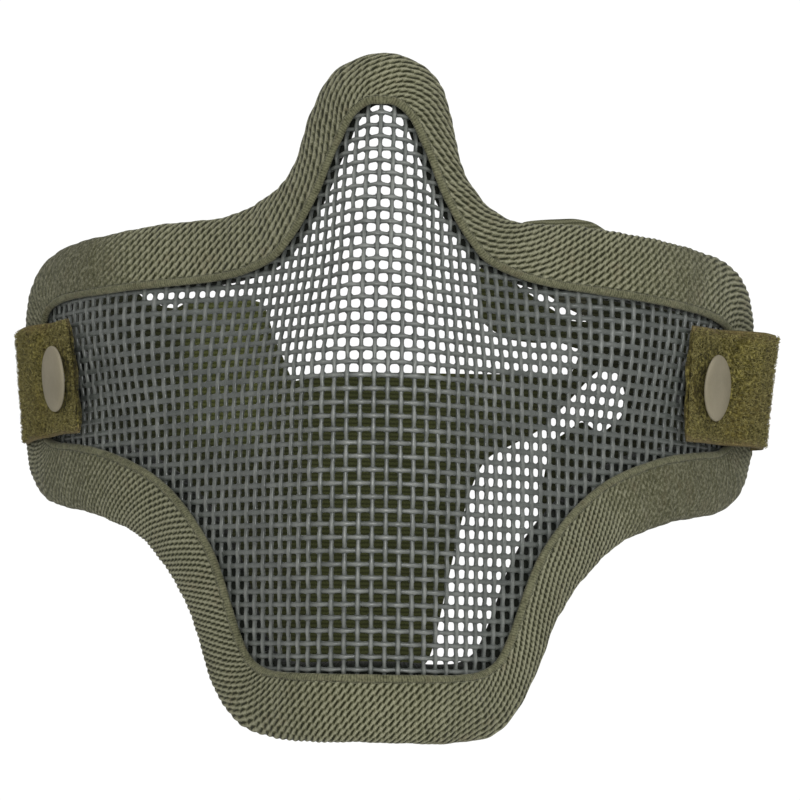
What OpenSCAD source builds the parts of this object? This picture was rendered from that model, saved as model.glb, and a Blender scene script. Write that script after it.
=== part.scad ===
// Lower-face mesh mask: a pressed sheet of woven wire with a padded fabric
// edge, two loop-tape tabs on rivets and an elastic head strap.
// Millimetres, +Z up, the mask faces -Y. The origin is the middle of the line
// through both rivets, on which the tabs and the strap swing.

/* [Mesh] */
// Thickness of the woven wire sheet over both wires
mesh_t = 1.6; // [1.2:0.1:2.2]

/* [Edge padding] */
// Height of the binding above the middle of the mesh, on the outside
front_h = 2.4; // [2:0.1:2.8]
// Depth of the padded edge behind the middle of the mesh
pad_h = 6.2; // [5:0.1:7]
// How much wider the padding is inside than the binding is outside
pad_extra = 3; // [2:0.5:6]
// Thickness of the knitted binding
binding_t = 1.2; // [0.9:0.1:1.3]

/* [Rivets] */
// Distance of each rivet from the middle plane, on the mesh
rivet_x = 76.8; // [76:0.1:78]
// Angle of the rivet plates from the frontal plane
rivet_tilt = 61; // [60:0.5:62]
// Radius of the outer cap
cap_r = 8.5; // [7:0.1:9]
// Radius of the rivet post
post_r = 2.2; // [1.8:0.1:2.4]

/* [Side tabs] */
// Width of the loop tape
tape_w = 30; // [25:1:32]
// Thickness of the loop tape
tape_t = 1.6; // [1.2:0.1:1.8]
// How far the tab reaches back past the mask
tab_tail = 66; // [50:1:70]
// Angle that the loose tabs and strap hang below level
droop = 3; // [0:0.5:4]

/* [Head strap] */
// Thickness of the elastic band
band_t = 1.4; // [1:0.1:1.6]
// Length of each hook patch
patch_l = 45; // [30:1:50]
// Width of each hook patch
patch_w = 25; // [20:1:28]
// Thickness of each hook patch
patch_t = 1.3; // [1:0.1:1.5]
// Depth of the curved back of the strap
band_back = 58; // [40:1:80]

/* [Hidden] */

olive = [0.38, 0.38, 0.30];
olive_dark = [0.27, 0.28, 0.20];
tape_olive = [0.36, 0.33, 0.20];
steel_paint = [0.31, 0.33, 0.31];
steel = [0.66, 0.66, 0.64];

// Where the swing axis lies, counted from the foremost point of the mesh
axis_y = 69;
axis_z = 4;

// ---- The mask's surface: depth behind the foremost point, by distance from
// the middle plane (columns) and by height (rows) ----
col_x = [0, 7, 14, 21, 28, 38, 50, 62, 74, 84, 94];
row_z = [-82, -62, -46, -9, 5, 18, 32, 46, 60, 75, 86];
depth = [
    [ 9,  9.5, 12,   18,   25.5, 36,   47.5, 60,   75, 92,   113],
    [ 4,  4.5,  7.5, 13.5, 21,   31.5, 43.5, 56,   71, 88,   109],
    [ 1,  1.4,  4.5, 10.5, 18,   28.5, 41,   53.5, 69, 86,   107],
    [ 0,  0.4,  3.5, 10,   17.5, 28.5, 40.5, 52.5, 67, 84,   104.5],
    [ 0,  0.5,  4,   11,   19,   29.5, 40,   50.5, 66, 83,   103.5],
    [ 3,  3.8,  9,   17,   25.5, 35,   43.5, 51.5, 65, 81.5, 101.5],
    [ 7,  9,   16.5, 25,   33,   42,   50,   57,   69, 84.5, 103.5],
    [12, 14.5, 23,   32,   40,   49,   57,   64,   75, 90,   108],
    [17.5, 21, 29.5, 38.5, 46,   55,   63,   71,   82, 96,   114],
    [24, 28,   36,   45,   53,   61,   70,   79,   90, 103,  120],
    [29, 33,   41,   50,   58,   66,   75,   84,   95, 108,  125]];

function cell(v, g, i = 0) = (i >= len(g) - 2 || v < g[i + 1]) ? i : cell(v, g, i + 1);
function rise(g, f, k) = (f[k + 1] - f[k]) / (g[k + 1] - g[k]);
function slope_at(g, f, k, even) =
    k == 0 ? (even ? 0 : rise(g, f, 0)) :
    k == len(g) - 1 ? rise(g, f, k - 1) :
    let (h0 = g[k] - g[k - 1], h1 = g[k + 1] - g[k])
    (rise(g, f, k - 1) * h1 + rise(g, f, k) * h0) / (h0 + h1);
function smooth(v, g, f, even = false) =
    let (i = cell(v, g), h = g[i + 1] - g[i], t = (v - g[i]) / h,
         m0 = slope_at(g, f, i, even) * h, m1 = slope_at(g, f, i + 1, even) * h)
    (2 * t * t * t - 3 * t * t + 1) * f[i] + (t * t * t - 2 * t * t + t) * m0
    + (3 * t * t - 2 * t * t * t) * f[i + 1] + (t * t * t - t * t) * m1;
function depth_at(x, z) =
    smooth(z, row_z, [for (r = depth) smooth(abs(x), col_x, r, true)]);
function on_mask(p) = [p[0], depth_at(p[0], p[1]), p[1]];
function unit(v) = v / norm(v);
function mask_normal(p) =
    let (e = 0.4,
         a = on_mask([p[0] + e, p[1]]) - on_mask([p[0] - e, p[1]]),
         b = on_mask([p[0], p[1] + e]) - on_mask([p[0], p[1] - e]))
    unit(cross(a, b));

// ---- Outline: each row is a point on the outer edge and the point across
// from it on the inner edge of the binding, from the nose to the chin ----
outline = [
    [0, 82, 0, 70], [4, 81.5, 2, 70], [8, 80, 4, 69], [12, 77, 6, 67],
    [15, 72, 7.5, 64.5], [17.5, 65.5, 9, 61], [19.5, 58.5, 11, 56.5],
    [22, 53, 13.5, 50], [24, 50.8, 16, 45], [26, 49, 18.5, 40.7],
    [28.5, 47.4, 21.5, 36.5], [31, 46, 25, 33], [37, 44, 32.5, 29.8],
    [44, 43, 41, 28], [52, 42.3, 50, 26.9], [61, 41.2, 59.5, 25.8],
    [70, 39.6, 68.5, 24.6], [78, 38, 76, 23.2], [84, 35.8, 81, 21.5],
    [88, 32, 84.2, 19], [90.5, 27, 85.5, 15.5], [91.5, 20, 86, 11.5],
    [91.8, 12, 86, 7.5], [91.8, 3, 86, 3], [91.8, -6, 86, -1.5],
    [91.5, -13, 86, -5.5], [90.5, -19, 85.3, -9], [88, -24, 84, -11.5],
    [84, -27, 81, -13], [78, -28.3, 76, -13.3], [71, -29.3, 68.5, -14.3],
    [65, -31, 60.5, -16.8], [60, -33, 53, -20.5], [55.5, -36, 46.5, -26],
    [51.5, -40, 41.5, -32], [48, -44.5, 38, -37.5], [45.5, -49, 35.5, -43.5],
    [43.3, -53.5, 33.3, -50], [41.7, -58, 31.7, -54.7], [40.3, -62.5, 30.3, -58],
    [38.8, -66.5, 29.3, -60], [37, -70.5, 28, -61.7], [34.5, -74.3, 26.3, -63],
    [31, -77.5, 24, -64], [26.5, -79.3, 21, -64.4], [20, -79.8, 16.5, -64.5],
    [13, -79.7, 11, -64.3], [6.5, -79.5, 5.5, -64.2], [0, -79.5, 0, -64.2]];
half_n = len(outline);
// the sewn edge is a little narrower beside the nose and the chin on the right
function trim_at(s) = s[3] > 25 ?
    lookup(s[1], [[43, 0], [45, 0.16], [49, 0.26], [56, 0.24], [66, 0.14], [76, 0.04], [80, 0]]) :
    lookup(s[1], [[-79, 0], [-75, 0.12], [-70, 0.17], [-54, 0.13], [-42, 0.05], [-34, 0]]);
right_side = [for (s = outline)
    [s[0] + (s[2] - s[0]) * trim_at(s), s[1] + (s[3] - s[1]) * trim_at(s), s[2], s[3]]];
ring = concat(right_side,
    [for (i = [half_n - 2:-1:1]) [-outline[i][0], outline[i][1], -outline[i][2], outline[i][3]]]);
ring_n = len(ring);
// the same ring with a smooth point between each two
function ring_mid(i) =
    let (a = ring[(i + ring_n - 1) % ring_n], b = ring[i],
         c = ring[(i + 1) % ring_n], d = ring[(i + 2) % ring_n])
    (9 * (b + c) - a - d) / 16;
stations = [for (i = [0:ring_n - 1], h = [0, 1]) h == 0 ? ring[i] : ring_mid(i)];

// A frame across the edge at a station: m runs inwards from the outer edge
// along the mask's surface, h stands off it, positive to the outside
function edge_point(s, m, h) =
    let (o = [s[0], s[1]], i = [s[2], s[3]],
         w = norm(on_mask(i) - on_mask(o)),
         q = m < 0 ? o : o + (i - o) * (m / w),
         back = m < 0 ? m : 0,
         inward = unit(on_mask(o + (i - o) * 0.1) - on_mask(o)))
    on_mask(q) + mask_normal(q) * h + inward * back;
function edge_w(s) = norm(on_mask([s[2], s[3]]) - on_mask([s[0], s[1]]));
// along the top the padding is hardly wider than the binding, and thinner
function extra_at(s) = lookup(s[3], [[-12, pad_extra], [2, pad_extra * 0.6], [14, 1.0], [22, 0.4], [70, 0.2]]);
function pad_at(s) = pad_h - lookup(s[3], [[16, 0], [26, 1.1], [38, 2.3], [70, 2.5]]);

// A closed loop of equal sections as one solid
module loop_solid(rings) {
    n = len(rings);
    k = len(rings[0]);
    polyhedron(points = [for (r = rings) for (p = r) p],
        faces = [for (i = [0:n - 1], j = [0:k - 1])
            let (a = i * k + j, b = i * k + (j + 1) % k,
                 c = ((i + 1) % n) * k + (j + 1) % k, d = ((i + 1) % n) * k + j)
            for (f = [[a, b, c], [a, c, d]]) f],
        convexity = 10);
}

// An open run of equal sections as one solid
module run_solid(rings) {
    n = len(rings);
    k = len(rings[0]);
    polyhedron(points = [for (r = rings) for (p = r) p],
        faces = concat(
            [for (i = [0:n - 2], j = [0:k - 1])
                let (a = i * k + j, b = i * k + (j + 1) % k,
                     c = (i + 1) * k + (j + 1) % k, d = (i + 1) * k + j)
                for (f = [[a, b, c], [a, c, d]]) f],
            [[for (j = [k - 1:-1:0]) j]],
            [[for (j = [0:k - 1]) (n - 1) * k + j]]),
        convexity = 10);
}

module in_place() translate([0, -axis_y, -axis_z]) children();

// What hangs on the swing axis is turned down about it
module hung() rotate([-droop, 0, 0]) translate([0, -axis_y, -axis_z]) children();

// ---- Wire mesh ----
mesh_cols = [0, 3, 6, 9, 12, 14.5, 17, 19, 22, 26, 30, 34, 38, 42, 47, 52, 58,
    64, 70, 76, 82, 86, 89];
mesh_rows = 15;
inset = [for (s = outline) [s[0] + (s[2] - s[0]) * 0.22, s[1] + (s[3] - s[1]) * 0.22]];
split = 23;
top_edge = [for (i = [0:split]) inset[i]];
low_edge = [for (i = [half_n - 1:-1:split]) inset[i]];
all_cols = concat([for (i = [len(mesh_cols) - 1:-1:1]) -mesh_cols[i]], mesh_cols);

module wire_mesh() color(steel_paint) in_place() {
    grid = [for (x = all_cols)
        let (zt = lookup(abs(x), top_edge), zb = lookup(abs(x), low_edge))
        [for (j = [0:mesh_rows]) [x, zb + (zt - zb) * j / mesh_rows]]];
    run_solid([for (c = grid) concat(
        [for (p = c) on_mask(p) + mask_normal(p) * mesh_t / 2],
        [for (j = [mesh_rows:-1:0]) on_mask(c[j]) - mask_normal(c[j]) * mesh_t / 2])]);
}

// ---- Padded edge ----
module edge_foam() color([0.16, 0.16, 0.15]) in_place()
    loop_solid([for (s = stations)
        let (w = edge_w(s), b = pad_at(s) - binding_t - 0.05, x = w + extra_at(s))
        [edge_point(s, 2.0, -2.4), edge_point(s, 4.2, -1.0), edge_point(s, x - 1.4, -1.0),
         edge_point(s, x - 1.4, -b + 1.2), edge_point(s, w * 0.6, -b), edge_point(s, 3.9, -b + 0.6)]]);

module edge_binding() color(olive) in_place()
    loop_solid([for (s = stations)
        let (w = edge_w(s), x = w + extra_at(s), f = front_h, b = pad_at(s), t = binding_t)
        [edge_point(s, w - 0.6, f - 0.2), edge_point(s, w - 0.6, f - t),
         edge_point(s, 3.4, f - t), edge_point(s, 1.7, 0.2), edge_point(s, 1.3, -b * 0.25),
         edge_point(s, 1.9, -b * 0.5), edge_point(s, 3.8, -b + t + 0.5), edge_point(s, w * 0.6, -b + t),
         edge_point(s, x - 1.2, -b + t + 1.1), edge_point(s, x - 1.2, -0.95),
         edge_point(s, x, -0.95), edge_point(s, x, -b + 1.6),
         edge_point(s, w * 0.6, -b), edge_point(s, 3.2, -b + 0.4),
         edge_point(s, 0.8, -b * 0.68), edge_point(s, 0, -b * 0.3), edge_point(s, 0.6, 0.9),
         edge_point(s, 2.8, f), edge_point(s, w * 0.5, f + 0.3)]]);

// The rolled lip is a small bead along the inner edge of the binding
module binding_lip() color(olive_dark) in_place()
    loop_solid([for (s = stations)
        let (w = edge_w(s))
        [edge_point(s, w - 0.5, 1.0), edge_point(s, w + 1.3, 1.0), edge_point(s, w + 1.9, 1.8),
         edge_point(s, w + 1.2, 2.7), edge_point(s, w - 0.5, 2.9)]]);

// The sewing lies in the groove between the binding and its lip
module seam_thread() color([0.24, 0.25, 0.17]) in_place()
    loop_solid([for (s = stations)
        let (w = edge_w(s))
        [edge_point(s, w - 1.15, 2.1), edge_point(s, w - 0.55, 2.05),
         edge_point(s, w - 0.55, 2.6), edge_point(s, w - 1.15, 2.6)]]);

// ---- Rivets: side is 1 for the right one and -1 for the left one ----
rivet_y = depth_at(rivet_x, axis_z);
// height of the cap's rim above the middle of the mesh
cap_h = 5.25;
module at_rivet(side) in_place() mirror([side < 0 ? 1 : 0, 0, 0])
    translate([rivet_x, rivet_y, axis_z]) rotate([0, 0, rivet_tilt]) rotate([90, 0, 0]) children();

module rivet_cap(side) color([0.47, 0.46, 0.37]) at_rivet(side)
    translate([0, 0, cap_h]) rotate_extrude($fn = 64)
        polygon([[0, 0.1], [cap_r - 1, 0], [cap_r - 0.2, 0.2], [cap_r, 0.6],
            [cap_r - 0.3, 1.0], [cap_r - 1.3, 1.3], [cap_r * 0.6, 1.55], [0, 1.7]]);
module rivet_post(side) color(steel) at_rivet(side) {
    translate([0, 0, -2.2]) cylinder(r = post_r, h = cap_h + 2.3, $fn = 48);
    translate([0, 0, -3.2]) cylinder(r1 = 3.6, r2 = 4.2, h = 1.0, $fn = 48);
}
module rivet_washer(side) color(steel) at_rivet(side)
    translate([0, 0, -2.2]) difference() {
        cylinder(r = 7, h = 0.9, $fn = 48);
        translate([0, 0, -1]) cylinder(r = post_r + 0.05, h = 3, $fn = 48);
    }

// ---- Side tabs: a strip along a plan line, held on edge ----
// along and off are counted from the rivet, along the plate and out of it
nx = sin(rivet_tilt);
ny = -cos(rivet_tilt);
tx = cos(rivet_tilt);
ty = sin(rivet_tilt);
function plate(along, off) = [rivet_x + along * tx + off * nx, rivet_y + along * ty + off * ny];
rear_x = 95;
bend_from = plate(22, 5.4);
bend_r = (rear_x - bend_from[0]) / (1 - tx * 0 - sin(rivet_tilt));
bend_y = bend_from[1] + bend_r * cos(rivet_tilt);
tab_end = bend_y + tab_tail;
bend_steps = 8;
tab_line = concat(
    [plate(-10.5, 3.6), plate(-6, 3.6), plate(0, 3.6), plate(9, 3.8),
     plate(10.3, 4.9), plate(12.5, 6.3), plate(17, 6.3), plate(20, 5.9)],
    [for (i = [0:bend_steps])
        let (a = rivet_tilt + (90 - rivet_tilt) * i / bend_steps)
        [rear_x - bend_r * (1 - sin(a)), bend_y - bend_r * cos(a)]],
    [[rear_x, tab_end]]);
function line_dir(l, i) = unit(l[min(i + 1, len(l) - 1)] - l[max(i - 1, 0)]);
function side_of(l, d) = [for (i = [0:len(l) - 1]) let (t = line_dir(l, i)) l[i] + [t[1], -t[0]] * d];

module loop_tape(side) color(tape_olive) difference() {
    hung() mirror([side < 0 ? 1 : 0, 0, 0])
        translate([0, 0, axis_z]) linear_extrude(height = tape_w, center = true)
            polygon(concat(side_of(tab_line, tape_t / 2),
                [for (i = [len(tab_line) - 1:-1:0]) side_of(tab_line, -tape_t / 2)[i]]));
    at_rivet(side) translate([0, 0, 0.8]) cylinder(r = post_r + 0.7, h = 6, $fn = 48);
}

// ---- Head strap ----
patch_x = rear_x + tape_t / 2 + 0.3;
band_x = patch_x + patch_t + band_t / 2;
patch_y = tab_end - patch_l;
band_y0 = patch_y - 2;
band_y1 = 180;
// top and bottom edge of the curved back, by distance from the middle plane
band_top = [[-98, 22.5], [-90, 24], [-80, 26], [-66, 27.5], [-54, 28.5], [-46, 28.5], [-43, 26.5], [-40, 21],
    [-35, 13.5], [-31, 10], [-28, 8], [0, 8], [28, 8], [49.5, 8], [51.5, 16], [54, 30], [58, 38],
    [66, 39], [76, 36], [88, 29], [98, 24]];
band_low = [[-98, -11], [-92, -13], [-85, -20], [-76, -26], [-68, -33], [-60, -42], [-52, -54],
    [-46, -64], [-40, -72], [-34, -76.5], [-28, -78.5], [-12, -79], [0, -79],
    [7, -78], [9.5, -74], [10.5, -68], [13, -54], [16, -39.5], [19, -27], [22, -19.5], [25, -16], [32.5, -12.2],
    [40, -8], [48, 0], [53, 6], [57, 10], [61, 10], [64.5, 5], [66, -5], [70, -12],
    [80, -14], [90, -12.5], [98, -11]];
// a crumpled fold of the wide panel stands up at the right, with a slit in it
fold_top = [[20, 35], [24, 42], [28, 45.5], [29, 46.2], [31.6, 34.5], [48, 23.6], [60, 23]];
fold_low = [[20, 26], [24, 21.5], [30, 18], [38, 17], [45, 17.5], [50, 15.5], [60, 14.5]];
crest_top = [[26, 47], [30, 50], [34, 52.6], [40, 53.2], [48.6, 53.6], [54, 52.6], [57, 50.6], [60, 48.4], [66, 44],
    [76, 38], [86, 31.5]];
crest_low = [[26, 38.6], [31.5, 37.6], [48, 26.8], [52, 25], [66, 24], [86, 26]];
drape_top = [[38, -31], [40.5, -27], [41.5, -12.5], [47, -9], [52, -5.2], [57.3, -9.4], [61.7, -5.8], [64.8, -2.6],
             [65.8, 8.8], [70, 12], [84, 14]];
drape_low = [[38, -38], [44, -36], [52, -30], [60, -26], [66, -22], [76, -17], [84, -14.5]];
side_top = [[100, 19], [165, 19], [172, 20.5], [180, 24]];
band_line = concat(
    [for (y = [band_y0, 140, band_y1 - 16, band_y1 - 8]) [band_x, y]],
    [for (a = [0:1.25:180]) [band_x * cos(a), band_y1 + band_back * sin(a)]],
    [for (y = [band_y1 - 8, band_y1 - 16, 140, band_y0]) [-band_x, y]]);
// The strap's back rides up the neck while its ends follow the hanging tabs
band_lift = [[100, 0], [150, 0], [164, 1], [180, 4.5], [200, 7], [238, 8.9]];
function band_z(p) = lookup(p[1], band_lift) * [1, 1]
    + (p[1] <= band_y1 - 0.01 ? [lookup(p[1], side_top), -11]
       : [lookup(p[0], band_top), lookup(p[0], band_low)]);

// one run of the band through line points number from to number to
module band_run(from, to, top, low) run_solid([for (i = [from:to])
    let (p = band_line[i], t = line_dir(band_line, i), o = [t[1], -t[0]] * band_t / 2,
         l = lookup(p[1], band_lift), back = len(top) > 0,
         z = back ? [lookup(p[0], top) + l, lookup(p[0], low) + l] : band_z(p))
    [[p[0] + o[0], p[1] + o[1], z[0]], [p[0] - o[0], p[1] - o[1], z[0]],
     [p[0] - o[0], p[1] - o[1], z[1]], [p[0] + o[0], p[1] + o[1], z[1]]]]);
function nearest(x) = 4 + round(acos(x / band_x) / 1.25);
module elastic_band() color(olive_dark) hung() {
    band_run(0, len(band_line) - 1, [], []);
    band_run(nearest(56), nearest(20.5), fold_top, fold_low);
    band_run(nearest(84), nearest(27), crest_top, crest_low);
    band_run(nearest(84), nearest(38.5), drape_top, drape_low);
}

module hook_patch(side) color([0.20, 0.20, 0.15]) hung() mirror([side < 0 ? 1 : 0, 0, 0])
    translate([patch_x, patch_y, axis_z - patch_w / 2]) cube([patch_t, patch_l, patch_w]);

// four rows of thread on the outside of the band, in a box
module patch_stitching(side) color([0.22, 0.23, 0.15]) hung() mirror([side < 0 ? 1 : 0, 0, 0])
    translate([band_x + band_t / 2, patch_y, axis_z]) difference() {
        translate([0, 2, -patch_w / 2 + 2]) cube([0.4, patch_l - 4, patch_w - 4]);
        translate([-1, 2.6, -patch_w / 2 + 2.6]) cube([3, patch_l - 5.2, patch_w - 5.2]);
    }

// a row of thread above the lower edge of the wide panel, on the outside
hem_x = [for (x = [-30:3:6]) x];
module panel_hem_stitching() color([0.22, 0.23, 0.15]) hung()
    run_solid([for (x = hem_x)
        let (y = band_y1 + band_back * sqrt(1 - pow(x / band_x, 2)) + band_t / 2,
             z = lookup(x, band_low) + lookup(y, band_lift) + 6)
        [[x, y + 0.02, z], [x, y + 0.4, z], [x, y + 0.4, z + 0.5], [x, y + 0.02, z + 0.5]]]);

wire_mesh();
edge_foam();
edge_binding();
binding_lip();
seam_thread();
rivet_cap(-1);  // left_rivet_cap
rivet_cap(1);  // right_rivet_cap
rivet_post(-1);  // left_rivet_post
rivet_post(1);  // right_rivet_post
rivet_washer(-1);  // left_rivet_washer
rivet_washer(1);  // right_rivet_washer
loop_tape(-1);  // left_loop_tape
loop_tape(1);  // right_loop_tape
elastic_band();
hook_patch(-1);  // left_hook_patch
hook_patch(1);  // right_hook_patch
patch_stitching(-1);  // left_patch_stitching
patch_stitching(1);  // right_patch_stitching
panel_hem_stitching();
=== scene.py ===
import math
import bpy
import numpy as np
from mathutils import Matrix, Vector


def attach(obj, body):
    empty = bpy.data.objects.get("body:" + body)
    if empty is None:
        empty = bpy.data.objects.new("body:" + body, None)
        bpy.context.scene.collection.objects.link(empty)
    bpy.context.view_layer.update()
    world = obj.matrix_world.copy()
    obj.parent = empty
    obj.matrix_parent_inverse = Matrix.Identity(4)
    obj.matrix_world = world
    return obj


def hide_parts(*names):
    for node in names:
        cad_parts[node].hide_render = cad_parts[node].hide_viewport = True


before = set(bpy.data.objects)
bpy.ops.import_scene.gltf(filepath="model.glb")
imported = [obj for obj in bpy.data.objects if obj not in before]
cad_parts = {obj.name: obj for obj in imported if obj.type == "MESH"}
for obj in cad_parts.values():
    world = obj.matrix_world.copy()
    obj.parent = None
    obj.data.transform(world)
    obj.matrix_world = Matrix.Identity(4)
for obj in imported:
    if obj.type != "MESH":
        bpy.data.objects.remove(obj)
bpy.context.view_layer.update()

RNG = np.random.RandomState(7)
MM = 0.001

# ---------------------------------------------------------------- the frame
# All lengths below are in millimetres, counted from the foremost point of the
# mesh as in part.scad; place() moves them into the row frame, in metres.
AXIS_Y, AXIS_Z, DROOP = 69.0, 4.0, 3.0


def place(p):
    p = np.asarray(p, float)
    return (p - np.array([0.0, AXIS_Y, AXIS_Z])) * MM


def hung(p):
    q = np.asarray(p, float) - np.array([0.0, AXIS_Y, AXIS_Z])
    a = math.radians(-DROOP)
    y = q[..., 1] * math.cos(a) - q[..., 2] * math.sin(a)
    z = q[..., 1] * math.sin(a) + q[..., 2] * math.cos(a)
    return np.stack([q[..., 0], y, z], -1) * MM


# ------------------------------------------------------- the mask's surface
COL_X = np.array([0, 7, 14, 21, 28, 38, 50, 62, 74, 84, 94], float)
ROW_Z = np.array([-82, -62, -46, -9, 5, 18, 32, 46, 60, 75, 86], float)
DEPTH = np.array([
    [9, 9.5, 12, 18, 25.5, 36, 47.5, 60, 75, 92, 113],
    [4, 4.5, 7.5, 13.5, 21, 31.5, 43.5, 56, 71, 88, 109],
    [1, 1.4, 4.5, 10.5, 18, 28.5, 41, 53.5, 69, 86, 107],
    [0, 0.4, 3.5, 10, 17.5, 28.5, 40.5, 52.5, 67, 84, 104.5],
    [0, 0.5, 4, 11, 19, 29.5, 40, 50.5, 66, 83, 103.5],
    [3, 3.8, 9, 17, 25.5, 35, 43.5, 51.5, 65, 81.5, 101.5],
    [7, 9, 16.5, 25, 33, 42, 50, 57, 69, 84.5, 103.5],
    [12, 14.5, 23, 32, 40, 49, 57, 64, 75, 90, 108],
    [17.5, 21, 29.5, 38.5, 46, 55, 63, 71, 82, 96, 114],
    [24, 28, 36, 45, 53, 61, 70, 79, 90, 103, 120],
    [29, 33, 41, 50, 58, 66, 75, 84, 95, 108, 125]], float)


def hermite(v, g, f, even=False):
    n = np.arange(len(v))
    if f.ndim == 1:
        f = np.repeat(f[:, None], len(v), 1)
    h = (g[1:] - g[:-1])[:, None]
    rise = (f[1:] - f[:-1]) / h
    s = np.empty_like(f)
    s[0] = 0 if even else rise[0]
    s[-1] = rise[-1]
    s[1:-1] = (rise[:-1] * h[1:] + rise[1:] * h[:-1]) / (h[:-1] + h[1:])
    k = np.clip(np.searchsorted(g, v, side="right") - 1, 0, len(g) - 2)
    hh = g[k + 1] - g[k]
    t = (v - g[k]) / hh
    return ((2 * t**3 - 3 * t**2 + 1) * f[k, n] + (t**3 - 2 * t**2 + t) * s[k, n] * hh
            + (3 * t**2 - 2 * t**3) * f[k + 1, n] + (t**3 - t**2) * s[k + 1, n] * hh)


def depth_at(x, z):
    x, z = np.broadcast_arrays(np.asarray(x, float), np.asarray(z, float))
    shape = x.shape
    x, z = x.ravel(), z.ravel()
    rows = np.array([hermite(np.abs(x), COL_X, r, True) for r in DEPTH])
    return hermite(z, ROW_Z, rows).reshape(shape)


def on_mask(q):
    return np.stack([q[..., 0], depth_at(q[..., 0], q[..., 1]), q[..., 1]], -1)


def unit(v):
    return v / np.maximum(np.linalg.norm(v, axis=-1, keepdims=True), 1e-12)


def normal_at(q):
    e = 0.4
    dx = (depth_at(q[..., 0] + e, q[..., 1]) - depth_at(q[..., 0] - e, q[..., 1])) / (2 * e)
    dz = (depth_at(q[..., 0], q[..., 1] + e) - depth_at(q[..., 0], q[..., 1] - e)) / (2 * e)
    return unit(np.stack([dx, -np.ones_like(dx), dz], -1))


# ------------------------------------------------------------- the outline
OUTLINE = np.array([
    [0, 82, 0, 70], [4, 81.5, 2, 70], [8, 80, 4, 69], [12, 77, 6, 67],
    [15, 72, 7.5, 64.5], [17.5, 65.5, 9, 61], [19.5, 58.5, 11, 56.5],
    [22, 53, 13.5, 50], [24, 50.8, 16, 45], [26, 49, 18.5, 40.7],
    [28.5, 47.4, 21.5, 36.5], [31, 46, 25, 33], [37, 44, 32.5, 29.8],
    [44, 43, 41, 28], [52, 42.3, 50, 26.9], [61, 41.2, 59.5, 25.8],
    [70, 39.6, 68.5, 24.6], [78, 38, 76, 23.2], [84, 35.8, 81, 21.5],
    [88, 32, 84.2, 19], [90.5, 27, 85.5, 15.5], [91.5, 20, 86, 11.5],
    [91.8, 12, 86, 7.5], [91.8, 3, 86, 3], [91.8, -6, 86, -1.5],
    [91.5, -13, 86, -5.5], [90.5, -19, 85.3, -9], [88, -24, 84, -11.5],
    [84, -27, 81, -13], [78, -28.3, 76, -13.3], [71, -29.3, 68.5, -14.3],
    [65, -31, 60.5, -16.8], [60, -33, 53, -20.5], [55.5, -36, 46.5, -26],
    [51.5, -40, 41.5, -32], [48, -44.5, 38, -37.5], [45.5, -49, 35.5, -43.5],
    [43.3, -53.5, 33.3, -50], [41.7, -58, 31.7, -54.7], [40.3, -62.5, 30.3, -58],
    [38.8, -66.5, 29.3, -60], [37, -70.5, 28, -61.7], [34.5, -74.3, 26.3, -63],
    [31, -77.5, 24, -64], [26.5, -79.3, 21, -64.4], [20, -79.8, 16.5, -64.5],
    [13, -79.7, 11, -64.3], [6.5, -79.5, 5.5, -64.2], [0, -79.5, 0, -64.2]], float)


def trim_at(s):
    up = np.interp(s[:, 1], [43, 45, 49, 56, 66, 76, 80], [0, 0.16, 0.26, 0.24, 0.14, 0.04, 0])
    down = np.interp(s[:, 1], [-79, -75, -70, -54, -42, -34], [0, 0.12, 0.17, 0.13, 0.05, 0])
    return np.where(s[:, 3] > 25, up, down)


def make_ring():
    t = trim_at(OUTLINE)[:, None]
    right = OUTLINE.copy()
    right[:, :2] += (OUTLINE[:, 2:] - OUTLINE[:, :2]) * t
    left = OUTLINE[-2:0:-1] * np.array([-1, 1, -1, 1])
    # the inner edge reaches further into the upper corner on the left
    left[:, 3] += np.interp(-left[:, 2], [30, 46, 58, 68, 74, 79, 84.2, 85.5, 86], [0, 0.4, 0.8, 1.1, 1.5, 2.2, 2.4, 1.8, 1]) \
        * np.interp(left[:, 3], [6, 13], [0, 1])
    ring = np.concatenate([right, left])
    for _ in range(3):  # smooth points between each two
        a, b, c, d = (np.roll(ring, k, 0) for k in (1, 0, -1, -2))
        mid = (9 * (b + c) - a - d) / 16
        ring = np.stack([ring, mid], 1).reshape(-1, 4)
    return ring


RING = make_ring()
_mid = on_mask((RING[:, :2] + RING[:, 2:]) / 2)
_step = np.linalg.norm(np.roll(_mid, -1, 0) - _mid, axis=1)
RING_S = np.concatenate([[0], np.cumsum(_step)])
RING_LEN = RING_S[-1]
RING_CLOSED = np.concatenate([RING, RING[:1]])


def station(s):
    """The outline's row at a length s along the middle of the edge."""
    s = np.mod(s, RING_LEN)
    return np.stack([np.interp(s, RING_S, RING_CLOSED[:, k]) for k in range(4)], -1)


def edge_w(st):
    return np.linalg.norm(on_mask(st[..., 2:]) - on_mask(st[..., :2]), axis=-1)


def edge_point(st, m, h):
    o, i = st[..., :2], st[..., 2:]
    w = edge_w(st)
    f = np.where(m > 0, m / w, 0.0)[..., None]
    q = o + (i - o) * f
    base = on_mask(o)
    inward = unit(on_mask(o + (i - o) * 0.1) - base)
    back = np.minimum(m, 0)[..., None]
    return on_mask(q) + normal_at(q) * h[..., None] + inward * back


def extra_at(st):
    return np.interp(st[..., 3], [-12, 2, 14, 22, 70], [3, 1.8, 1.0, 0.4, 0.2])


def pad_at(st):
    return 6.2 - np.interp(st[..., 3], [16, 26, 38, 70], [0, 1.4, 3.1, 3.3])


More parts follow.
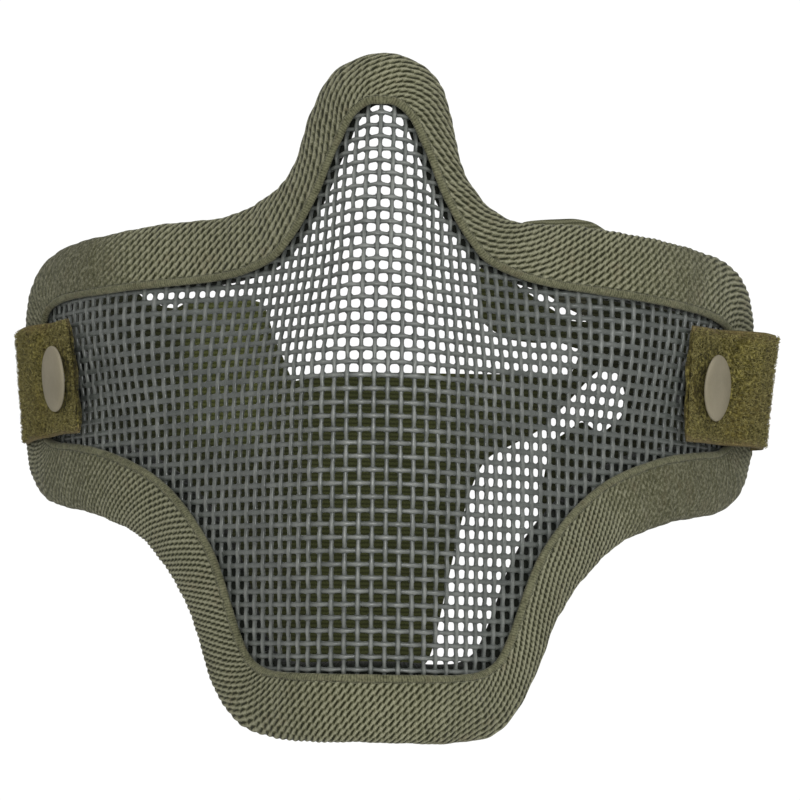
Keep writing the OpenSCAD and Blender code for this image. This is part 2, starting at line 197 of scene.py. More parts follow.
def inside_edge(q, reach):
    """True where a point of the surface lies inside the outline drawn in by
    the share reach of the edge's width."""
    poly = RING[::4, :2] + (RING[::4, 2:] - RING[::4, :2]) * reach
    x, z = q[..., 0], q[..., 1]
    hit = np.zeros(x.shape, bool)
    n = len(poly)
    for k in range(n):
        x0, z0 = poly[k]
        x1, z1 = poly[(k + 1) % n]
        cross = (z0 > z) != (z1 > z)
        if z1 != z0:
            hit ^= cross & (x < (x1 - x0) * (z - z0) / (z1 - z0) + x0)
    return hit


# ----------------------------------------------------------- mesh building
def new_mesh(name, verts, quads, tris=None, uv=None, tri_uv=None, smooth=True):
    """verts (n,3) in metres, quads (m,4), uv (m,4,2) per corner."""
    me = bpy.data.meshes.new(name)
    quads = np.asarray(quads, np.int64).reshape(-1, 4)
    tris = np.zeros((0, 3), np.int64) if tris is None else np.asarray(tris, np.int64).reshape(-1, 3)
    me.vertices.add(len(verts))
    me.vertices.foreach_set("co", np.ascontiguousarray(verts, np.float32).ravel())
    loops = np.concatenate([quads.ravel(), tris.ravel()])
    me.loops.add(len(loops))
    me.loops.foreach_set("vertex_index", loops.astype(np.int32))
    total = np.concatenate([np.full(len(quads), 4), np.full(len(tris), 3)])
    start = np.concatenate([[0], np.cumsum(total)[:-1]]) if len(total) else total
    me.polygons.add(len(total))
    me.polygons.foreach_set("loop_start", start.astype(np.int32))
    me.polygons.foreach_set("loop_total", total.astype(np.int32))
    me.polygons.foreach_set("use_smooth", np.full(len(total), smooth))
    me.update(calc_edges=True)
    if uv is not None:
        layer = me.uv_layers.new(name="UVMap")
        flat = np.asarray(uv, np.float32).reshape(-1, 2)
        rest = len(loops) - len(flat)
        if rest:
            more = np.zeros((rest, 2), np.float32) if tri_uv is None else np.asarray(tri_uv, np.float32).reshape(-1, 2)
            flat = np.concatenate([flat, more])
        layer.data.foreach_set("uv", flat.ravel())
    me.validate()
    ob = bpy.data.objects.new(name, me)
    bpy.context.collection.objects.link(ob)
    return ob


def grid_faces(n, k, loop_n=False, loop_k=False):
    """Quads of an n by k grid of points, closed along n and/or k."""
    i = np.arange(n if loop_n else n - 1)
    j = np.arange(k if loop_k else k - 1)
    I, J = np.meshgrid(i, j, indexing="ij")
    a = I * k + J
    b = I * k + (J + 1) % k
    c = ((I + 1) % n) * k + (J + 1) % k
    d = ((I + 1) % n) * k + J
    return np.stack([a, b, c, d], -1).reshape(-1, 4), I.ravel(), J.ravel()


def grid_normals(P, loop_n, loop_k):
    def diff(ax, loop):
        if loop:
            return np.roll(P, -1, ax) - np.roll(P, 1, ax)
        return np.gradient(P, axis=ax)
    return unit(np.cross(diff(0, loop_n), diff(1, loop_k)))


def tube_rings(P, N, rw, rh, sides):
    """Rings round a path: P points, N the surface normal there, rw and rh the
    half widths across and along the normal."""
    T = unit(np.gradient(P, axis=0))
    B = unit(np.cross(T, N))
    M = np.cross(B, T)
    a = np.arange(sides) * 2 * math.pi / sides + math.pi / sides
    ca, sa = np.cos(a)[None, :, None], np.sin(a)[None, :, None]
    return P[:, None] + B[:, None] * ca * rw[:, None, None] + M[:, None] * sa * rh[:, None, None]


class Bag:
    """Collects tubes and other bits into one mesh."""

    def __init__(self):
        self.v, self.q, self.t, self.n = [], [], [], 0
        self.top = []

    def rings(self, R, caps=True, top=None):
        n, k = R.shape[:2]
        if top is not None:
            self.top.append(np.concatenate([np.broadcast_to(top, (n, k)).ravel(), [0, 0]]))
        f, _, _ = grid_faces(n, k, False, True)
        self.v.append(R.reshape(-1, 3))
        self.q.append(f + self.n)
        if caps:
            c0, c1 = R[0].mean(0), R[-1].mean(0)
            self.v.append(np.array([c0, c1]))
            base = self.n + n * k
            j = np.arange(k)
            self.t.append(np.stack([np.full(k, base), self.n + (j + 1) % k, self.n + j], -1))
            last = self.n + (n - 1) * k
            self.t.append(np.stack([np.full(k, base + 1), last + j, last + (j + 1) % k], -1))
            self.n += 2
        self.n += n * k

    def ob(self, name, to=None):
        v = np.concatenate(self.v)
        t = np.concatenate(self.t) if self.t else None
        ob = new_mesh(name, v if to is None else to(v), np.concatenate(self.q), t)
        if self.top:
            at = ob.data.attributes.new("ridge", "FLOAT", "POINT")
            at.data.foreach_set("value", np.concatenate(self.top).astype(np.float32))
        return ob


# --------------------------------------------------------------- materials
class Nodes:
    """A short way to write shader nodes."""

    def __init__(self, name):
        self.mat = bpy.data.materials.new(name)
        self.mat.use_nodes = True
        self.nt = self.mat.node_tree
        self.nt.nodes.clear()
        self.out = self.nt.nodes.new("ShaderNodeOutputMaterial")
        self.bsdf = self.nt.nodes.new("ShaderNodeBsdfPrincipled")
        self.nt.links.new(self.bsdf.outputs[0], self.out.inputs[0])

    def put(self, sock, v):
        if isinstance(v, bpy.types.NodeSocket):
            self.nt.links.new(v, sock)
        elif isinstance(v, (tuple, list)) and len(v) == 3 and sock.type == "RGBA":
            sock.default_value = (*v, 1)
        else:
            sock.default_value = v

    def m(self, op, a, b=None, c=None, clamp=False):
        n = self.nt.nodes.new("ShaderNodeMath")
        n.operation, n.use_clamp = op, clamp
        for k, v in enumerate((a, b, c)):
            if v is not None:
                self.put(n.inputs[k], v)
        return n.outputs[0]

    def mix(self, f, a, b, blend="MIX"):
        n = self.nt.nodes.new("ShaderNodeMix")
        n.data_type, n.blend_type = "RGBA", blend
        self.put(n.inputs[0], f)
        self.put(n.inputs[6], a)
        self.put(n.inputs[7], b)
        return n.outputs[2]

    def uv(self):
        n = self.nt.nodes.new("ShaderNodeUVMap")
        n.uv_map = "UVMap"
        s = self.nt.nodes.new("ShaderNodeSeparateXYZ")
        self.nt.links.new(n.outputs[0], s.inputs[0])
        return s.outputs[0], s.outputs[1]

    def pos(self):
        return self.nt.nodes.new("ShaderNodeTexCoord").outputs["Object"]

    def sep(self, v):
        s = self.nt.nodes.new("ShaderNodeSeparateXYZ")
        self.put(s.inputs[0], v)
        return s.outputs[0], s.outputs[1], s.outputs[2]

    def xyz(self, a, b, c=0.0):
        n = self.nt.nodes.new("ShaderNodeCombineXYZ")
        for k, v in enumerate((a, b, c)):
            self.put(n.inputs[k], v)
        return n.outputs[0]

    def scale(self, color, by):
        """A colour made lighter or darker."""
        v = self.nt.nodes.new("ShaderNodeVectorMath")
        v.operation = "SCALE"
        self.nt.links.new(color, v.inputs[0])
        self.nt.links.new(by, v.inputs["Scale"])
        return v.outputs[0]

    def attr(self, name):
        n = self.nt.nodes.new("ShaderNodeAttribute")
        n.attribute_type, n.attribute_name = "GEOMETRY", name
        return n.outputs["Fac"]

    def noise(self, vec, scale, detail=3.0, rough=0.5, color=False):
        n = self.nt.nodes.new("ShaderNodeTexNoise")
        self.put(n.inputs["Vector"], vec)
        n.inputs["Scale"].default_value = scale
        n.inputs["Detail"].default_value = detail
        n.inputs["Roughness"].default_value = rough
        return n.outputs["Color" if color else "Fac"]

    def white(self, v):
        n = self.nt.nodes.new("ShaderNodeTexWhiteNoise")
        n.noise_dimensions = "1D"
        self.put(n.inputs["W"], v)
        return n.outputs["Value"]

    def ramp(self, f, stops):
        n = self.nt.nodes.new("ShaderNodeValToRGB")
        while len(n.color_ramp.elements) > 1:
            n.color_ramp.elements.remove(n.color_ramp.elements[-1])
        n.color_ramp.elements[0].position = stops[0][0]
        n.color_ramp.elements[0].color = (*stops[0][1], 1)
        for p, c in stops[1:]:
            n.color_ramp.elements.new(p).color = (*c, 1)
        self.put(n.inputs[0], f)
        return n.outputs[0]

    def span(self, f, a, b, c=0.0, d=1.0):
        n = self.nt.nodes.new("ShaderNodeMapRange")
        n.clamp = True
        for k, v in enumerate((f, a, b, c, d)):
            self.put(n.inputs[k], v)
        return n.outputs[0]

    def bump(self, height, distance, strength=1.0, normal=None):
        n = self.nt.nodes.new("ShaderNodeBump")
        n.inputs["Strength"].default_value = strength
        n.inputs["Distance"].default_value = distance
        self.put(n.inputs["Height"], height)
        if normal is not None:
            self.put(n.inputs["Normal"], normal)
        return n.outputs[0]

    def cosine(self, turns):
        """0 to 1, highest at whole turns"""
        c = self.m("COSINE", self.m("MULTIPLY", turns, 2 * math.pi))
        return self.m("MULTIPLY_ADD", c, 0.5, 0.5)

    def done(self, color, rough, normal=None, metal=0.0, sheen=0.0, spec=0.5, coat=0.0):
        b = self.bsdf.inputs
        self.put(b["Base Color"], color)
        self.put(b["Roughness"], rough)
        if normal is not None:
            self.put(b["Normal"], normal)
        b["Metallic"].default_value = metal
        b["Specular IOR Level"].default_value = spec
        if sheen:
            b["Sheen Weight"].default_value = sheen
            b["Sheen Roughness"].default_value = 0.5
        if coat:
            b["Coat Weight"].default_value = coat
            b["Coat Roughness"].default_value = 0.35
        return self.mat


def fabric_rope(name):
    """Roped ribs: u counts the ribs, v counts the stitches along a rib. Dark
    slots of painted shade lie in the valleys, half a stitch further on in each next valley."""
    n = Nodes(name)
    u, v = n.uv()
    p = n.pos()
    ribbed = n.attr("ribbing")
    wob = n.m("SUBTRACT", n.noise(p, 240.0, 2.0), 0.5)
    uu = n.m("MULTIPLY_ADD", wob, 0.30, u)
    valley = n.m("FLOOR", uu)
    f = n.m("SUBTRACT", n.m("SUBTRACT", uu, valley), 0.5)
    ph = n.m("MULTIPLY_ADD", valley, 0.5, v)
    ph = n.m("MULTIPLY_ADD", n.white(valley), 0.30, ph)
    ph = n.m("MULTIPLY_ADD", wob, 0.9, ph)
    g = n.m("SUBTRACT", n.m("FRACT", ph), 0.5)
    stitch = n.m("FLOOR", ph)
    odd = n.white(n.m("MULTIPLY_ADD", valley, 17.13, stitch))
    fx = n.m("ABSOLUTE", n.m("MULTIPLY_ADD", g, 0.42, f))
    wide = n.m("MULTIPLY_ADD", odd, 0.08, 0.09)
    # painted shade: dark slots in the valleys between the ribs
    slot = n.m("MULTIPLY", n.span(fx, wide, n.m("ADD", wide, 0.10), 1.0, 0.0), n.span(n.m("ABSOLUTE", g), 0.27, 0.42, 1.0, 0.0))
    slot = n.m("MULTIPLY", slot, ribbed)
    crest = n.m("SUBTRACT", 1.0, n.span(n.m("ABSOLUTE", n.m("MULTIPLY_ADD", g, 0.20, f)), 0.0, 0.5, 1.0, 0.0))
    crest = n.m("POWER", crest, 0.8)
    strand = n.cosine(n.m("MULTIPLY_ADD", f, 1.6, n.m("MULTIPLY", ph, 4.0)))
    knit = n.noise(p, 1250.0, 2.0, 0.6)
    fine = n.noise(p, 2900.0, 2.0, 0.6)
    plain = n.span(knit, 0.34, 0.66)
    body = n.mix(ribbed, n.xyz(plain, plain, plain), n.xyz(crest, crest, crest))
    h = n.sep(body)[0]
    h = n.m("MULTIPLY_ADD", n.m("SUBTRACT", strand, 0.5), 0.14, h)
    h = n.m("MULTIPLY_ADD", n.m("SUBTRACT", fine, 0.5), 0.55, h)
    h = n.m("MULTIPLY_ADD", n.m("SUBTRACT", plain, 0.5), 0.22, h)
    patch = n.m("SUBTRACT", n.noise(p, 45.0, 3.0, 0.6), 0.5)
    tone = n.m("MULTIPLY_ADD", patch, 0.35, h)
    # the colour follows the knit's height: painted shade in the low places
    col = n.ramp(n.span(tone, -0.05, 1.1), [(0.0, (0.036, 0.038, 0.017)), (0.45, (0.098, 0.098, 0.053)), (1.0, (0.245, 0.241, 0.163))])
    warm = n.span(n.noise(p, 150.0, 3.0, 0.7), 0.56, 0.74, 0.0, 0.30)
    col = n.mix(warm, col, (0.150, 0.118, 0.072))
    col = n.mix(n.span(ribbed, 0.1, 0.8, 0.50, 0.0), col, (0.050, 0.047, 0.020))
    # painted shade: the binding's inner wall and back by the mesh are coloured near black
    inner = n.attr("inner")
    col = n.mix(slot, col, (0.016, 0.017, 0.005))
    col = n.mix(inner, col, (0.009, 0.011, 0.007))
    h = n.m("MULTIPLY_ADD", slot, -0.7, h)
    return n.done(col, 0.9, n.bump(h, 0.20 * MM, 0.8), sheen=0.06, spec=0.2)


def fabric_lip(name):
    n = Nodes(name)
    u, v = n.uv()
    p = n.pos()
    wob = n.noise(p, 500.0, 2.0)
    th = n.cosine(n.m("MULTIPLY_ADD", n.m("SUBTRACT", wob, 0.5), 1.3, u))
    knit = n.span(n.noise(p, 1400.0, 3.0, 0.65), 0.32, 0.68)
    h = n.m("MULTIPLY_ADD", knit, 0.65, n.m("MULTIPLY", th, 0.35))
    tone = n.m("MULTIPLY_ADD", n.m("SUBTRACT", n.noise(p, 90.0, 3.0), 0.5), 0.5, h)
    col = n.mix(n.span(tone, 0.0, 1.0), (0.030, 0.031, 0.013), (0.168, 0.166, 0.100))
    warm = n.span(n.noise(p, 230.0, 3.0, 0.7), 0.54, 0.72, 0.0, 0.30)
    col = n.mix(warm, col, (0.125, 0.098, 0.060))
    return n.done(col, 0.9, n.bump(h, 0.12 * MM, 0.8), sheen=0.06, spec=0.2)


def thread_mat(name, low, high):
    n = Nodes(name)
    p = n.pos()
    f = n.noise(p, 1800.0, 3.0, 0.6)
    return n.done(n.mix(n.span(f, 0.3, 0.7), low, high), 0.75, n.bump(f, 0.05 * MM, 0.7), sheen=0.1, spec=0.3)


def wire_paint(name):
    n = Nodes(name)
    p = n.pos()
    big = n.noise(p, 160.0, 4.0, 0.6)
    small = n.noise(p, 1400.0, 3.0, 0.6)
    col = n.mix(n.span(big, 0.3, 0.7), (0.047, 0.053, 0.048), (0.084, 0.092, 0.083))
    worn = n.span(n.m("MULTIPLY_ADD", small, 0.5, n.m("MULTIPLY", big, 0.5)), 0.58, 0.72, 0.0, 0.5)
    col = n.mix(worn, col, (0.175, 0.182, 0.168))
    # painted highlight: the paint is lightened along the wires' top ridges
    painted_highlight = n.m("MULTIPLY", n.attr("ridge"), n.span(big, 0.35, 0.6, 0.45, 1.0))
    col = n.mix(n.m("MULTIPLY", painted_highlight, 0.7), col, (0.225, 0.232, 0.215))
    rough = n.span(small, 0.3, 0.7, 0.24, 0.40)
    return n.done(col, rough, n.bump(small, 0.06 * MM, 0.5), spec=0.5)


def cap_paint(name):
    n = Nodes(name)
    p = n.pos()
    f = n.noise(p, 900.0, 4.0, 0.6)
    g = n.noise(p, 120.0, 3.0, 0.5)
    col = n.mix(n.span(g, 0.3, 0.7), (0.172, 0.151, 0.100), (0.214, 0.188, 0.128))
    col = n.mix(n.span(f, 0.62, 0.75, 0.0, 0.35), col, (0.30, 0.28, 0.21))
    return n.done(col, n.span(f, 0.3, 0.7, 0.55, 0.68), n.bump(f, 0.03 * MM, 0.4), spec=0.4)


def steel_mat(name):
    n = Nodes(name)
    p = n.pos()
    f = n.noise(p, 700.0, 4.0, 0.6)
    col = n.mix(n.span(f, 0.3, 0.7), (0.42, 0.42, 0.40), (0.56, 0.56, 0.54))
    return n.done(col, n.span(f, 0.3, 0.7, 0.26, 0.42), n.bump(f, 0.02 * MM, 0.4), metal=1.0)


# Near-black steel for the washers behind the mesh: painted shade, where the mask's shade falls by the tabs.
def dark_steel(name):
    n = Nodes(name)
    f = n.noise(n.pos(), 800.0, 4.0, 0.6)
    return n.done(n.mix(n.span(f, 0.3, 0.7), (0.020, 0.021, 0.019), (0.045, 0.047, 0.042)), n.span(f, 0.3, 0.7, 0.45, 0.6),
                  n.bump(f, 0.03 * MM, 0.4), spec=0.4)


def foam_mat(name):
    n = Nodes(name)
    p = n.pos()
    v = n.nt.nodes.new("ShaderNodeTexVoronoi")
    n.put(v.inputs["Vector"], p)
    v.inputs["Scale"].default_value = 1600.0
    f = n.noise(p, 300.0, 3.0)
    col = n.mix(n.span(f, 0.3, 0.7), (0.014, 0.014, 0.013), (0.026, 0.026, 0.024))
    return n.done(col, 0.92, n.bump(v.outputs["Distance"], 0.15 * MM, 0.7), spec=0.2)


def loop_mat(name):
    """Loop pile: u runs along the tape in mm, v across it from -15 to 15."""
    n = Nodes(name)
    u, v = n.uv()
    p = n.pos()
    pile = n.noise(p, 1300.0, 5.0, 0.75)
    clump = n.noise(p, 520.0, 4.0, 0.7)
    wide = n.noise(p, 90.0, 3.0, 0.5)
    f = n.m("ADD", n.m("MULTIPLY", pile, 0.72), n.m("MULTIPLY", clump, 0.28))
    col = n.ramp(n.span(f, 0.41, 0.60), [(0.0, (0.022, 0.018, 0.002)), (0.5, (0.076, 0.065, 0.012)), (1.0, (0.262, 0.228, 0.070))])
    col = n.mix(n.span(wide, 0.45, 0.7, 0.0, 0.22), col, (0.120, 0.082, 0.026))
    # towards the edges the pile thins out and the browner ground shows
    dist = n.m("ABSOLUTE", v)
    wav = n.m("MULTIPLY_ADD", n.m("SUBTRACT", clump, 0.5), 4.0, dist)
    edge = n.span(wav, 12.2, 14.4, 0.0, 0.85)
    weave = n.m("MULTIPLY", n.cosine(n.m("DIVIDE", u, 0.55)), n.cosine(n.m("DIVIDE", v, 0.5)))
    sel = n.mix(n.span(n.m("MULTIPLY_ADD", weave, 0.5, n.m("MULTIPLY", pile, 0.6)), 0.1, 0.8),
                (0.048, 0.036, 0.011), (0.185, 0.142, 0.062))
    col = n.mix(edge, col, sel)
    hgt = n.m("ADD", n.m("MULTIPLY", n.m("SUBTRACT", 1.0, edge), f), n.m("MULTIPLY", edge, n.m("MULTIPLY_ADD", weave, 0.25, 0.25)))
    return n.done(col, 0.92, n.bump(hgt, 0.5 * MM, 0.9), sheen=0.04, spec=0.2)


def fibre_mat(name):
    n = Nodes(name)
    p = n.pos()
    f = n.noise(p, 900.0, 3.0, 0.7)
    return n.done(n.mix(n.span(f, 0.35, 0.65), (0.085, 0.073, 0.017), (0.290, 0.255, 0.092)), 0.8, sheen=0.04, spec=0.25)


def elastic_mat(name, low, high):
    """Woven elastic: u runs along it in mm, v across it in mm."""
    n = Nodes(name)
    u, v = n.uv()
    p = n.pos()
    wob = n.m("MULTIPLY", n.m("SUBTRACT", n.noise(p, 120.0, 2.0), 0.5), 0.9)
    rows = n.cosine(n.m("DIVIDE", n.m("ADD", v, wob), 1.25))
    picks = n.cosine(n.m("MULTIPLY_ADD", n.m("FLOOR", n.m("DIVIDE", n.m("ADD", v, wob), 1.25)), 0.5, n.m("DIVIDE", u, 0.9)))
    h = n.m("MULTIPLY", n.m("POWER", rows, 0.6), n.m("MULTIPLY_ADD", picks, 0.4, 0.6))
    fine = n.noise(p, 2200.0, 3.0, 0.6)
    h = n.m("MULTIPLY_ADD", n.m("SUBTRACT", fine, 0.5), 0.3, h)
    tone = n.m("MULTIPLY_ADD", n.m("SUBTRACT", n.noise(p, 60.0, 3.0), 0.5), 0.5, h)
    col = n.mix(n.span(tone, 0.0, 1.0), low, high)
    # painted shade and light: the colour is scaled by the strap's per-point factor of painted shade and light
    col = n.scale(col, n.attr("painted_shade_light"))
    return n.done(col, 0.9, n.bump(h, 0.22 * MM, 0.9), sheen=0.05, spec=0.15)


def hook_mat(name):
    n = Nodes(name)
    x, y, z = n.sep(n.pos())
    a = n.cosine(n.m("DIVIDE", y, 1.1 * MM))
    b = n.cosine(n.m("DIVIDE", z, 1.3 * MM))
    h = n.m("MULTIPLY", a, b)
    col = n.mix(n.span(h, 0.2, 0.8), (0.018, 0.018, 0.010), (0.062, 0.060, 0.036))
    return n.done(col, 0.6, n.bump(h, 0.5 * MM, 0.9), spec=0.35)


M = {
    "paint": wire_paint("Painted_wire"),
    "foam": foam_mat("Foam"),
    "rope": fabric_rope("Binding_knit"),
    "lip": fabric_lip("Binding_lip"),
    "thread": thread_mat("Thread", (0.050, 0.052, 0.026), (0.115, 0.117, 0.068)),
    "cap": cap_paint("Cap_paint"),
    "steel": steel_mat("Rivet_steel"),
    "washer": dark_steel("Washer_steel_painted_shade"),
    "loop": loop_mat("Loop_pile"),
    "fibre": fibre_mat("Loop_fibres"),
    # painted light: a paler copy of the elastic for the strap's crest above the binding, where it lies in the light
    "elastic_painted_lit": elastic_mat("Elastic_weave_painted_lit", (0.040, 0.041, 0.021), (0.150, 0.149, 0.092)),
    "elastic": elastic_mat("Elastic_weave", (0.026, 0.030, 0.008), (0.072, 0.079, 0.026)),
    "hook": hook_mat("Hook_tape"),
}


def dress(ob, mat, body, slot, *nodes):
    ob.data.materials.clear()
    ob.data.materials.append(M[mat])
    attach(ob, body)
    if nodes:
        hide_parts(*nodes)
    return ob


def node_material(node, mat):
    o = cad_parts[node]
    o.data.materials.clear()
    o.data.materials.append(M[mat])
    for p in o.data.polygons:
        p.material_index = 0


# --------------------------------------------------------------- wire mesh
# The woven sheet was flat before it was pressed, so its wires keep their
# spacing along the surface: each new crossing lies one pitch from two known.
PX, PZ, ZB = 3.12, 3.10, -9.8
NX, NUP, NDN = 44, 32, 26


def march(q, other, length, guess):
    """Moves each point q so that it lies at the given lengths from two others."""
    for _ in range(8):
        P = on_mask(q)
        e = 0.05
        Px = (on_mask(q + np.array([e, 0])) - P) / e
        Pz = (on_mask(q + np.array([0, e])) - P) / e
        ra, rb = P - guess[0], P - guess[1]
        la, lb = np.linalg.norm(ra, axis=-1), np.linalg.norm(rb, axis=-1)
        fa, fb = la - length[0], lb - length[1]
        a11, a12 = (ra * Px).sum(-1) / la, (ra * Pz).sum(-1) / la
        a21, a22 = (rb * Px).sum(-1) / lb, (rb * Pz).sum(-1) / lb
        det = a11 * a22 - a12 * a21
        det = np.where(np.abs(det) < 0.05, 0.05 * np.sign(det + 1e-9), det)
        dx = (fa * a22 - fb * a12) / det
        dz = (a11 * fb - a21 * fa) / det
        step = np.stack([dx, dz], -1)
        q = q - np.clip(step, -1.5, 1.5)
    return q


def walk(f, n, length):
    """Points at equal lengths along a curve t -> (x, z) on the surface."""
    t = np.linspace(0, 220, 8801)
    q = f(t)
    P = on_mask(q)
    s = np.concatenate([[0], np.cumsum(np.linalg.norm(P[1:] - P[:-1], axis=1))])
    tt = np.interp(np.arange(n + 1) * length, s, t)
    return f(tt)


def base_wire(t):
    slope = lambda x: np.interp(x, [0, 5, 14, 22, 36, 50, 62, 72, 84], [0, 0.02, 0.062, 0.08, 0.088, 0.10, 0.115, 0.15, 0.19])
    xs = np.linspace(0, 220, 2201)
    drop = np.concatenate([[0], np.cumsum(slope(xs)[:-1] * np.diff(xs))])
    return np.stack([t, ZB - np.interp(t, xs, drop)], -1)


def quadrant(rows, up):
    sg = 1 if up else -1
    net = np.zeros((NX + 1, rows + 1, 2))
    net[0] = walk(lambda t: np.stack([0 * t, ZB + sg * t * 0.6], -1), rows, PZ)
    net[:, 0] = walk(base_wire, NX, PX)
    for d in range(2, NX + rows + 1):
        i = np.arange(max(1, d - rows), min(NX, d - 1) + 1)
        j = d - i
        A, B, C = net[i, j - 1], net[i - 1, j], net[i - 1, j - 1]
        q = A + B - C
        net[i, j] = march(q, None, (PZ, PX), (on_mask(A), on_mask(B)))
    return net


up_net, dn_net = quadrant(NUP, True), quadrant(NDN, False)
half = np.concatenate([dn_net[:, :0:-1], up_net], 1)      # column by row
NET = np.concatenate([half[:0:-1] * np.array([-1, 1]), half], 0)
PARITY = (np.arange(NET.shape[0])[:, None] + np.arange(NET.shape[1])[None, :]) % 2 * 2 - 1


def wing(x):
    """0 in the middle of the mask, 1 on its cheeks, where paint has gathered
    thicker."""
    t = np.clip((np.abs(x) - 6) / 34, 0, 1)
    return 0.16 + 0.84 * t * t * (3 - 2 * t)


def wires(axis, name, crimp, sign):
    """Woven wires along one way of the net, thicker where the paint has
    gathered round the crossings."""
    bag = Bag()
    sides = 12
    ts = np.array([0, 0.14, 0.28, 0.5, 0.72, 0.86])
    wid = np.array([0.60, 0.57, 0.49, 0.44, 0.49, 0.57])
    hei = np.array([0.47, 0.47, 0.46, 0.45, 0.46, 0.47])
    lines = NET if axis == 0 else NET.transpose(1, 0, 2)
    par = PARITY if axis == 0 else PARITY.T
    for L, pr in zip(lines, par):
        n = len(L)
        q = np.concatenate([L[:-1, None] + (L[1:, None] - L[:-1, None]) * ts[None, :, None]]).reshape(-1, 2)
        # round the corners of the net with a cubic through the crossings
        a = np.concatenate([L[:1] * 2 - L[1:2], L, L[-1:] * 2 - L[-2:-1]])
        p0, p1, p2, p3 = a[:-3, None], a[1:-2, None], a[2:-1, None], a[3:, None]
        t = ts[None, :, None]
        q = 0.5 * (2 * p1 + (p2 - p0) * t + (2 * p0 - 5 * p1 + 4 * p2 - p3) * t**2 + (3 * p1 - p0 - 3 * p2 + p3) * t**3)
        q = q.reshape(-1, 2)
        cr = (pr[:-1, None] * np.cos(math.pi * ts)[None]).reshape(-1) * sign * crimp
        w = np.tile(wid, n - 1)
        h = np.tile(hei, n - 1)
        ins = inside_edge(q, 0.62)
        if ins.sum() < 3:
            continue
        edges = np.flatnonzero(np.diff(np.concatenate([[0], ins.astype(int), [0]])))
        for s, e in zip(edges[::2], edges[1::2]):
            if e - s < 4:
                continue
            qq = q[s:e]
            N = normal_at(qq)
            jit = 0.03 * np.sin(np.arange(s, e) * 1.7 + len(bag.v))
            wg = wing(qq[:, 0])
            P = on_mask(qq) + N * (cr[s:e] * (1 - 0.62 * wg) + jit)[:, None]
            R = tube_rings(P, N, w[s:e] * (1 + 0.36 * wg), h[s:e], sides)
            # painted highlight: the ridge values mark each wire's top where it stands proud, weaker on the cheeks
            out = np.clip(((R - P[:, None]) * N[:, None]).sum(-1) / h[s:e, None], 0, 1)
            proud = (0.55 + 0.45 * np.clip(cr[s:e] / crimp, -1, 1)) * (1 - (0.9 if axis else 0.35) * wg)
            bag.rings(R, top=np.clip((out - 0.6) / 0.4, 0, 1) * proud[:, None])
    return bag.ob(name, place)


vert = dress(wires(0, "mesh_wires_upright", 0.15, 1), "paint", "mask", "mesh_paint", "wire_mesh")
hori = dress(wires(1, "mesh_wires_crosswise", 0.31, -1), "paint", "mask", "mesh_paint", "wire_mesh")


def webs():
    """The paint that fills the corners between two crossing wires."""
    q = NET.reshape(-1, 2)
    keep = inside_edge(q, 0.66)
    I, J = np.divmod(np.flatnonzero(keep), NET.shape[1])
    ok = (I > 0) & (I < NET.shape[0] - 1) & (J > 0) & (J < NET.shape[1] - 1)
    I, J = I[ok], J[ok]
    c, N = on_mask(NET[I, J]), normal_at(NET[I, J])
    a = unit(on_mask(NET[I + 1, J]) - on_mask(NET[I - 1, J]))
    b = unit(on_mask(NET[I, J + 1]) - on_mask(NET[I, J - 1]))
    n = len(I)
    rr = RNG.uniform(0.93, 1.05, (n, 4))
    wg = wing(NET[I, J][:, 0])
    ring = []
    for q in range(4):
        for deg, r0, r1 in ((0, 0.80, 1.40), (20, 1.08, 1.66), (35, 0.98, 1.28), (55, 0.98, 1.28), (70, 1.08, 1.66)):
            t = math.radians(deg + 90 * q)
            r = (r0 + (r1 - r0) * wg) * (rr[:, q] if deg else 1.0)
            ring.append(c + (a * math.cos(t) + b * math.sin(t)) * r[:, None])
    K = len(ring)
    ring = np.stack(ring, 1)
    top, low = c + N * 0.40, c - N * 0.40
    V = np.concatenate([ring, top[:, None], low[:, None]], 1)
    k = np.arange(K)
    t = np.concatenate([np.stack([np.full(K, K), k, (k + 1) % K], -1), np.stack([np.full(K, K + 1), (k + 1) % K, k], -1)])
    T = (t[None] + (np.arange(n) * (K + 2))[:, None, None]).reshape(-1, 3)
    side = (np.cross(ring[:, 1] - ring[:, 0], top - ring[:, 0]) * N).sum(-1).mean()
    if side < 0:
        T = T[:, ::-1]
    return new_mesh("mesh_paint_webs", place(V.reshape(-1, 3)), np.zeros((0, 4), int), T)


dress(webs(), "paint", "mask", "mesh_paint", "wire_mesh")


